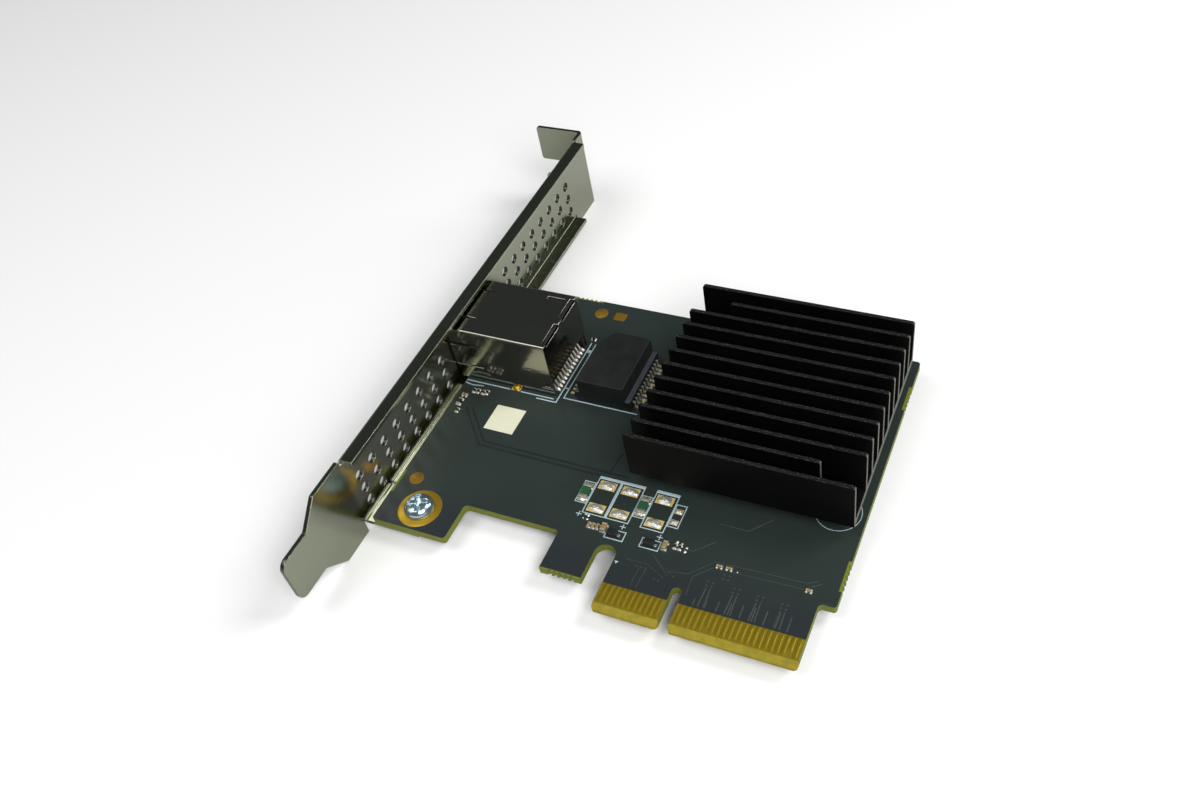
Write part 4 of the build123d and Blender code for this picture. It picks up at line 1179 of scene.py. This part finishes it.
@dataclass
class SlotBracket:
    """The folded bracket and its two screws."""

    card: Card
    head_r: float = 2.8
    head_h: float = 2.0
    shank_r: float = 1.5
    shank_tip: float = -3.85
    seat: float = 0.05
    arm_w: float = 0.85
    arm_l: float = 3.7
    depth: float = 1.35
    recess_turn: float = 0.44

    def screw(self) -> Form:
        """One pan head screw with its cross recess.

        The crown is z = h (1 - (r/R)^3.2)^(1/2.2). Each arm of the recess goes down where
        |v| < w/2 and |u| < l/2, deepest in the middle, and rises towards the arm's end.

        Returns:
            The screw, with the underside of its head at the height of its seat.
        """
        crown = self.head_r * np.concatenate([np.sin(np.linspace(math.pi / 2, 0.72, 14)), np.linspace(0.64, 0, 44)])
        level = self.seat + self.head_h * (1 - (crown / self.head_r) ** 3.2) ** (1 / 2.2)
        shank = [(0.0, self.shank_tip), (1.1, self.shank_tip), (self.shank_r, self.shank_tip + 0.4)]
        shank += [(self.shank_r, self.seat), (self.head_r * 0.97, self.seat)]
        radius = np.concatenate([[r for r, _ in shank], crown])
        height = np.concatenate([[z for _, z in shank], level])
        turn = np.linspace(0, 2 * math.pi, 144, endpoint=False)
        x, y = radius[:, None] * np.cos(turn), radius[:, None] * np.sin(turn)
        sink = np.zeros_like(x)
        for u, v in ((x, y), (y, x)):
            inside = np.clip((self.arm_w / 2 + 0.05 - np.abs(v)) / 0.1, 0, 1)
            reach = np.clip((self.arm_l / 2 - np.abs(u)) / 0.12, 0, 1)
            floor = self.depth * (1 - 0.62 * np.clip(2 * np.abs(u) / self.arm_l, 0, 1))
            sink = np.maximum(sink, inside * reach * floor)
        sink[: len(shank)] = 0
        z = np.broadcast_to(height[:, None], x.shape) - sink
        return Form.grid(np.stack([x, y, z], -1), wrap_columns=True)

    def build(self) -> None:
        """Replaces the bracket with its eased copy and the screws with turned ones."""
        self.card.ease("bracket", BRACKET_METAL, 0.09)
        feet, _ = self.card.boxes("bracket_screws")
        places = feet * (1, 1, 0)
        screws = self.screw().copies(places, np.array([self.recess_turn, self.recess_turn + 0.5]))
        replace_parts(screws.show("pan_screws", ZINC), "bracket_screws")


@dataclass
class NetworkPort:
    """The shielded port: shield, moulded insert, plug contacts, rear leads and light windows."""

    card: Card
    leg_x: float = -47.4
    near_y: float = 41.45
    far_y: float = 56.35
    toe: tuple[float, float, float] = (0.62, 0.4, 0.5)
    leg_pad: tuple[float, float, float, float] = (1.9, 1.2, 0.04, 0.03)
    leg_joint: tuple[float, float, float] = (0.85, 0.5, 0.55)
    leg_lump: tuple[float, float, float] = (1.2, 0.8, 0.7)

    def build(self) -> None:
        """Dresses the port and solders it to the board."""
        self.card.ease("port_shield", SHIELD, 0.11)
        self.card.ease("port_insert", INSERT, 0.08)
        self.card.ease("port_spring_contacts", GOLD, 0.05)
        self.card.ease("port_rear_leads", TIN, 0.05)
        self.card.bricks("port_lights", WINDOW, 0.15)
        feet, sizes = self.card.boxes("port_rear_leads")
        toes = feet + np.stack([sizes[:, 0] / 2 - 0.15, 0 * feet[:, 1], 0 * feet[:, 2]], 1)
        fillets = mound(*self.toe, 11, square=2.6).copies(toes, np.zeros(len(toes)))
        fillets.show("port_lead_solder", SOLDER)
        pads = [slab(*self.leg_pad).moved(self.leg_x, y) for y in (self.near_y - 0.2, self.far_y + 0.2)]
        join(pads).show("port_leg_pads", PAD_GOLD, Shade.WEIGHTED)
        over = [(self.leg_x, self.near_y - 0.25, 0.03), (self.leg_x, self.far_y + 0.25, 0.03)]
        under = [(self.leg_x, self.near_y + 0.1, 0), (self.leg_x, self.far_y - 0.1, 0)]
        joints, below = mound(*self.leg_joint, 5).copies(over), mound(*self.leg_lump, 6).copies(under)
        join([joints, below.flipped(-BOARD_T)]).show("port_leg_solder", AMBER_SOLDER)


@dataclass
class Transformer:
    """The isolation transformer: its stepped case, its gull-wing leads and their solder."""

    card: Card
    toe: tuple[float, float, float] = (0.36, 0.3, 0.3)
    pad: tuple[float, float, float, float] = (1.5, 0.58, 0.03, 0.02)

    def build(self) -> None:
        """Dresses the case and leads, and gives each toe its fillet and pad."""
        self.card.ease("transformer_body", EPOXY, 0.14)
        self.card.ease("transformer_leads", TIN, 0.05)
        feet, sizes = self.card.boxes("transformer_leads")
        middle = feet[:, 0].mean()
        out = np.sign(feet[:, 0] - middle)
        toes = feet + np.stack([out * (sizes[:, 0] / 2 - 0.12), 0 * out, 0 * out], 1)
        mound(*self.toe, 21, square=2.2).copies(toes, np.zeros(len(toes))).show("transformer_fillets", SOLDER)
        pads = slab(*self.pad).copies(toes - np.stack([out * 0.15, 0 * out, 0 * out], 1))
        pads.show("transformer_pads", PAD_GOLD, Shade.WEIGHTED)


@dataclass
class HeatSink:
    """The finned heat sink, what it cools, and the sprung push pins that hold it."""

    card: Card
    turns: float = 2.0
    flat: float = 0.3
    wire_r: float = 0.15

    def spring(self, foot: Array, size: Array) -> Form:
        """One coil spring: its two ends lie flat and the rest rises evenly.

        The wire's middle is at (R cos t, R sin t), its height goes as a clipped ramp of t, and its
        radius shrinks to nought at both ends.

        Args:
            foot: The middle of the spring's underside.
            size: The spring's box.

        Returns:
            The wound wire.
        """
        share = np.linspace(0, 1, 170)
        turn = share * 2 * math.pi * self.turns
        reach = size[0] / 2 - self.wire_r
        rise = np.clip((share * self.turns - self.flat) / (self.turns - 2 * self.flat), 0, 1)
        level = self.wire_r + (size[2] - 2 * self.wire_r) * rise
        centre = np.stack([reach * np.cos(turn), reach * np.sin(turn), level], -1)
        thick = self.wire_r * np.clip(np.minimum(share, 1 - share) * 90, 0, 1) ** 0.5
        return tube(centre, thick).moved(*foot)

    def build(self) -> None:
        """Dresses the heat sink, pins, springs, chip and pad."""
        self.card.ease("heat_sink", ANODISED, 0.1)
        self.card.ease("push_pins", NYLON, 0.16)
        feet, sizes = self.card.boxes("push_pin_springs")
        coils = join([self.spring(foot, size) for foot, size in zip(feet, sizes)])
        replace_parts(coils.show("pin_springs", WIRE), "push_pin_springs")
        self.card.ease("controller_chip", CAN, 0.1)
        self.card.bricks("thermal_pad", SILICONE, 0.1)


@dataclass
class SmallParts:
    """Pads, solder and the little parts of the board."""

    card: Card
    big_pad: float = 2.0
    ring_from: float = 3.0
    well_margin: float = 0.3
    well_h: float = 0.015
    well_ease: float = 0.004

    def solder(self) -> list[Form]:
        """Lays frozen solder on the bare pads, with each pad's corners left bare.

        Returns:
            One lump for each pad.
        """
        feet, sizes = self.card.boxes("bare_solder_pads")
        lumps = []
        for seed, (foot, size) in enumerate(zip(feet, sizes)):
            big = size[0] > self.big_pad
            share = (0.88, 0.92) if big else (0.95, 0.95)
            lump = mound(size[0] / 2 * share[0], size[1] / 2 * share[1], 0.34 if big else 0.3, seed + 31, 2.4, 0.55)
            lumps.append(lump.moved(foot[0], foot[1], size[2]))
        return lumps

    def end_fillets(self) -> Form:
        """Lays solder that climbs the metal ends of the small parts on the component side.

        Returns:
            The fillets.
        """
        feet, sizes = self.card.boxes("small_part_ends")
        top = feet[:, 2] > -0.5
        feet, sizes = feet[top], sizes[top]
        scale = np.stack([sizes[:, 0] * 0.62 + 0.12, sizes[:, 1] * 0.62 + 0.12, sizes[:, 2] * 0.55], 1)
        return mound(1.0, 1.0, 1.0, 77, 3.0, 0.15).copies(feet * (1, 1, 0), scale=scale)

    def pads(self) -> None:
        """The plated rings round the screws, and the copper-brown test pads."""
        feet, sizes = self.card.boxes("plated_pads")
        rings, tests = [], []
        for foot, size in zip(feet, sizes):
            reach = size[0] / 2
            if reach > self.ring_from:
                outline = [(1.7, 0.0), (1.72, 0.04), (1.85, 0.05), (reach - 0.12, 0.05), (reach, 0.0)]
                rings.append(lathe(outline[::-1], 72).moved(foot[0], foot[1]))
            elif abs(size[0] - size[1]) < 0.1:
                outline = [(reach, 0.0), (reach - 0.1, 0.05), (0.45, 0.05), (0.4, 0.075)]
                outline += [(0.2, 0.075), (0.12, 0.02), (0.0, 0.02)]
                tests.append(lathe(outline, 48).moved(foot[0], foot[1]))
            else:
                tests.append(cushion(size[0] / 2, size[1] / 2, size[2], 7.0, 36).moved(foot[0], foot[1]))
        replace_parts(join(rings).show("screw_rings", RING_GOLD), "plated_pads")
        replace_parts(join(tests).show("test_pads", BRONZE_PAD), "plated_pads")

    def build(self) -> None:
        """Dresses every small part and pad."""
        self.pads()
        self.card.bricks("bare_solder_pads", PAD_GOLD, 0.03)
        join(self.solder()).show("pad_solder", SOLDER)
        feet, sizes = self.card.boxes("bare_solder_pads")
        wells = [
            slab(size[0] + self.well_margin, size[1] + self.well_margin, self.well_h, self.well_ease).moved(*foot)
            for foot, size in zip(feet, sizes)
        ]
        join(wells).show("mask_openings", SUNK, Shade.WEIGHTED)
        self.end_fillets().show("part_solder", SOLDER)
        for name, finish, ease in (
            ("ceramic_capacitors", CERAMIC, 0.08),
            ("chip_resistors", GLASS, 0.05),
            ("solder_side_capacitors", CERAMIC, 0.08),
            ("surface_fuses", GREEN, 0.06),
            ("small_part_ends", TIN, 0.07),
            ("diodes", CHIP, 0.1),
            ("diode_leads", TIN, 0.03),
            ("label", PAPER, 0.03),
            ("crystal", CAN, 0.3),
            ("power_inductors", CHIP, 0.25),
            ("regulator_chips", CHIP, 0.08),
        ):
            self.card.bricks(name, finish, ease)
        self.card.ease("flash_memory", CHIP, 0.08)


@dataclass
class Studio:
    """A pale floor, soft lamps and the photograph's camera."""

    floor_z: float = -4.11
    floor_reach: float = 2500.0
    floor_colour: str = "#ebebea"
    floor_roughness: float = 0.9
    floor_specular: float = 0.1
    sky_colour: str = "#b9c2c4"
    sky_strength: float = 0.15
    aim: tuple[float, float, float] = (-0.015, 0.04, 0.0)
    lamps: tuple = (
        ("key", (0.42, -0.38, 0.55), 0.5, 6.4),
        ("fill", (-0.34, -0.17, 0.72), 0.5, 2.6),
        ("rim", (0.45, 0.31, 0.58), 0.28, 2.6),
        ("edge", (0.5, 0.5, 0.24), 0.26, 1.0),
    )
    focal_px: float = 1096.4
    centre_px: tuple[float, float] = (661.4, 422.8)
    eye: tuple[float, float, float] = (51.32, -78.74, 151.69)
    right: tuple[float, float, float] = (0.920099, 0.374153, -0.115876)
    down: tuple[float, float, float] = (0.209545, -0.720146, -0.661423)
    ahead: tuple[float, float, float] = (-0.330921, 0.584294, -0.741008)

    def camera(self) -> None:
        """Sets the camera: lens = 36 f / W, and its shift moves the centre to the photograph's."""
        data = bpy.data.cameras.new("camera")
        data.sensor_width = 36.0
        data.lens = 36.0 * self.focal_px / PHOTO_W
        data.shift_x = (PHOTO_W / 2 - self.centre_px[0]) / PHOTO_W
        data.shift_y = (self.centre_px[1] - PHOTO_H / 2) / PHOTO_W
        data.clip_start, data.clip_end = 0.01, 10.0
        axes = np.stack([self.right, -np.array(self.down), -np.array(self.ahead)], 1)
        camera = bpy.data.objects.new("camera", data)
        camera.matrix_world = Matrix.Translation(Vector(self.eye) * MM) @ Matrix(axes.tolist()).to_4x4()
        bpy.context.scene.collection.objects.link(camera)
        bpy.context.scene.camera = camera

    def floor(self) -> None:
        """Lays a plain pale floor under the lowest edge of the card."""
        reach = np.linspace(-self.floor_reach, self.floor_reach, 3)
        x, y = np.meshgrid(reach, reach)
        form = Form.grid(np.stack([x, y, np.full_like(x, self.floor_z)], -1))
        mesh = bpy.data.meshes.new("floor")
        mesh.from_pydata((form.points * MM).tolist(), [], form.faces.tolist())
        made = bpy.data.materials.new("pale_floor_paper")
        made.use_nodes = True
        shader = made.node_tree.nodes["Principled BSDF"]
        shader.inputs["Base Color"].default_value = linear(self.floor_colour)
        shader.inputs["Roughness"].default_value = self.floor_roughness
        shader.inputs["Specular IOR Level"].default_value = self.floor_specular
        mesh.materials.append(made)
        floor = bpy.data.objects.new("floor", mesh)
        bpy.context.scene.collection.objects.link(floor)

    def lamp(self, name: str, place: tuple[float, float, float], size: float, power: float) -> None:
        """Hangs one square soft lamp, aimed at the card.

        Args:
            name: The lamp's name.
            place: Where it hangs, in metres.
            size: Its side, in metres.
            power: Its power, in watts.
        """
        data = bpy.data.lights.new(name, "AREA")
        data.shape, data.size, data.energy = "SQUARE", size, power
        lamp = bpy.data.objects.new(name, data)
        lamp.location = Vector(place)
        lamp.rotation_mode = "QUATERNION"
        lamp.rotation_quaternion = (Vector(place) - Vector(self.aim)).to_track_quat("Z", "Y")
        bpy.context.scene.collection.objects.link(lamp)

    def sky(self) -> None:
        """A dim even room, which the flat mirror-like faces show as near black."""
        world = bpy.data.worlds.new("studio")
        world.use_nodes = True
        background = world.node_tree.nodes["Background"]
        background.inputs["Color"].default_value = linear(self.sky_colour)
        background.inputs["Strength"].default_value = self.sky_strength
        bpy.context.scene.world = world

    def build(self) -> None:
        """Makes the whole studio."""
        self.camera()
        self.floor()
        self.sky()
        for name, place, size, power in self.lamps:
            self.lamp(name, place, size, power)
        bpy.context.scene.view_settings.view_transform = "Standard"


def main() -> None:
    """Loads the frame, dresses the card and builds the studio."""
    logging.basicConfig(level=logging.INFO, format="%(name)s: %(message)s")
    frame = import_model()
    card = Card(frame["nodes"])
    for part in (Laminate, EdgeConnector, SlotBracket, NetworkPort, Transformer, HeatSink, SmallParts):
        part(card).build()
    Studio().build()


if __name__ == "__main__":
    main()
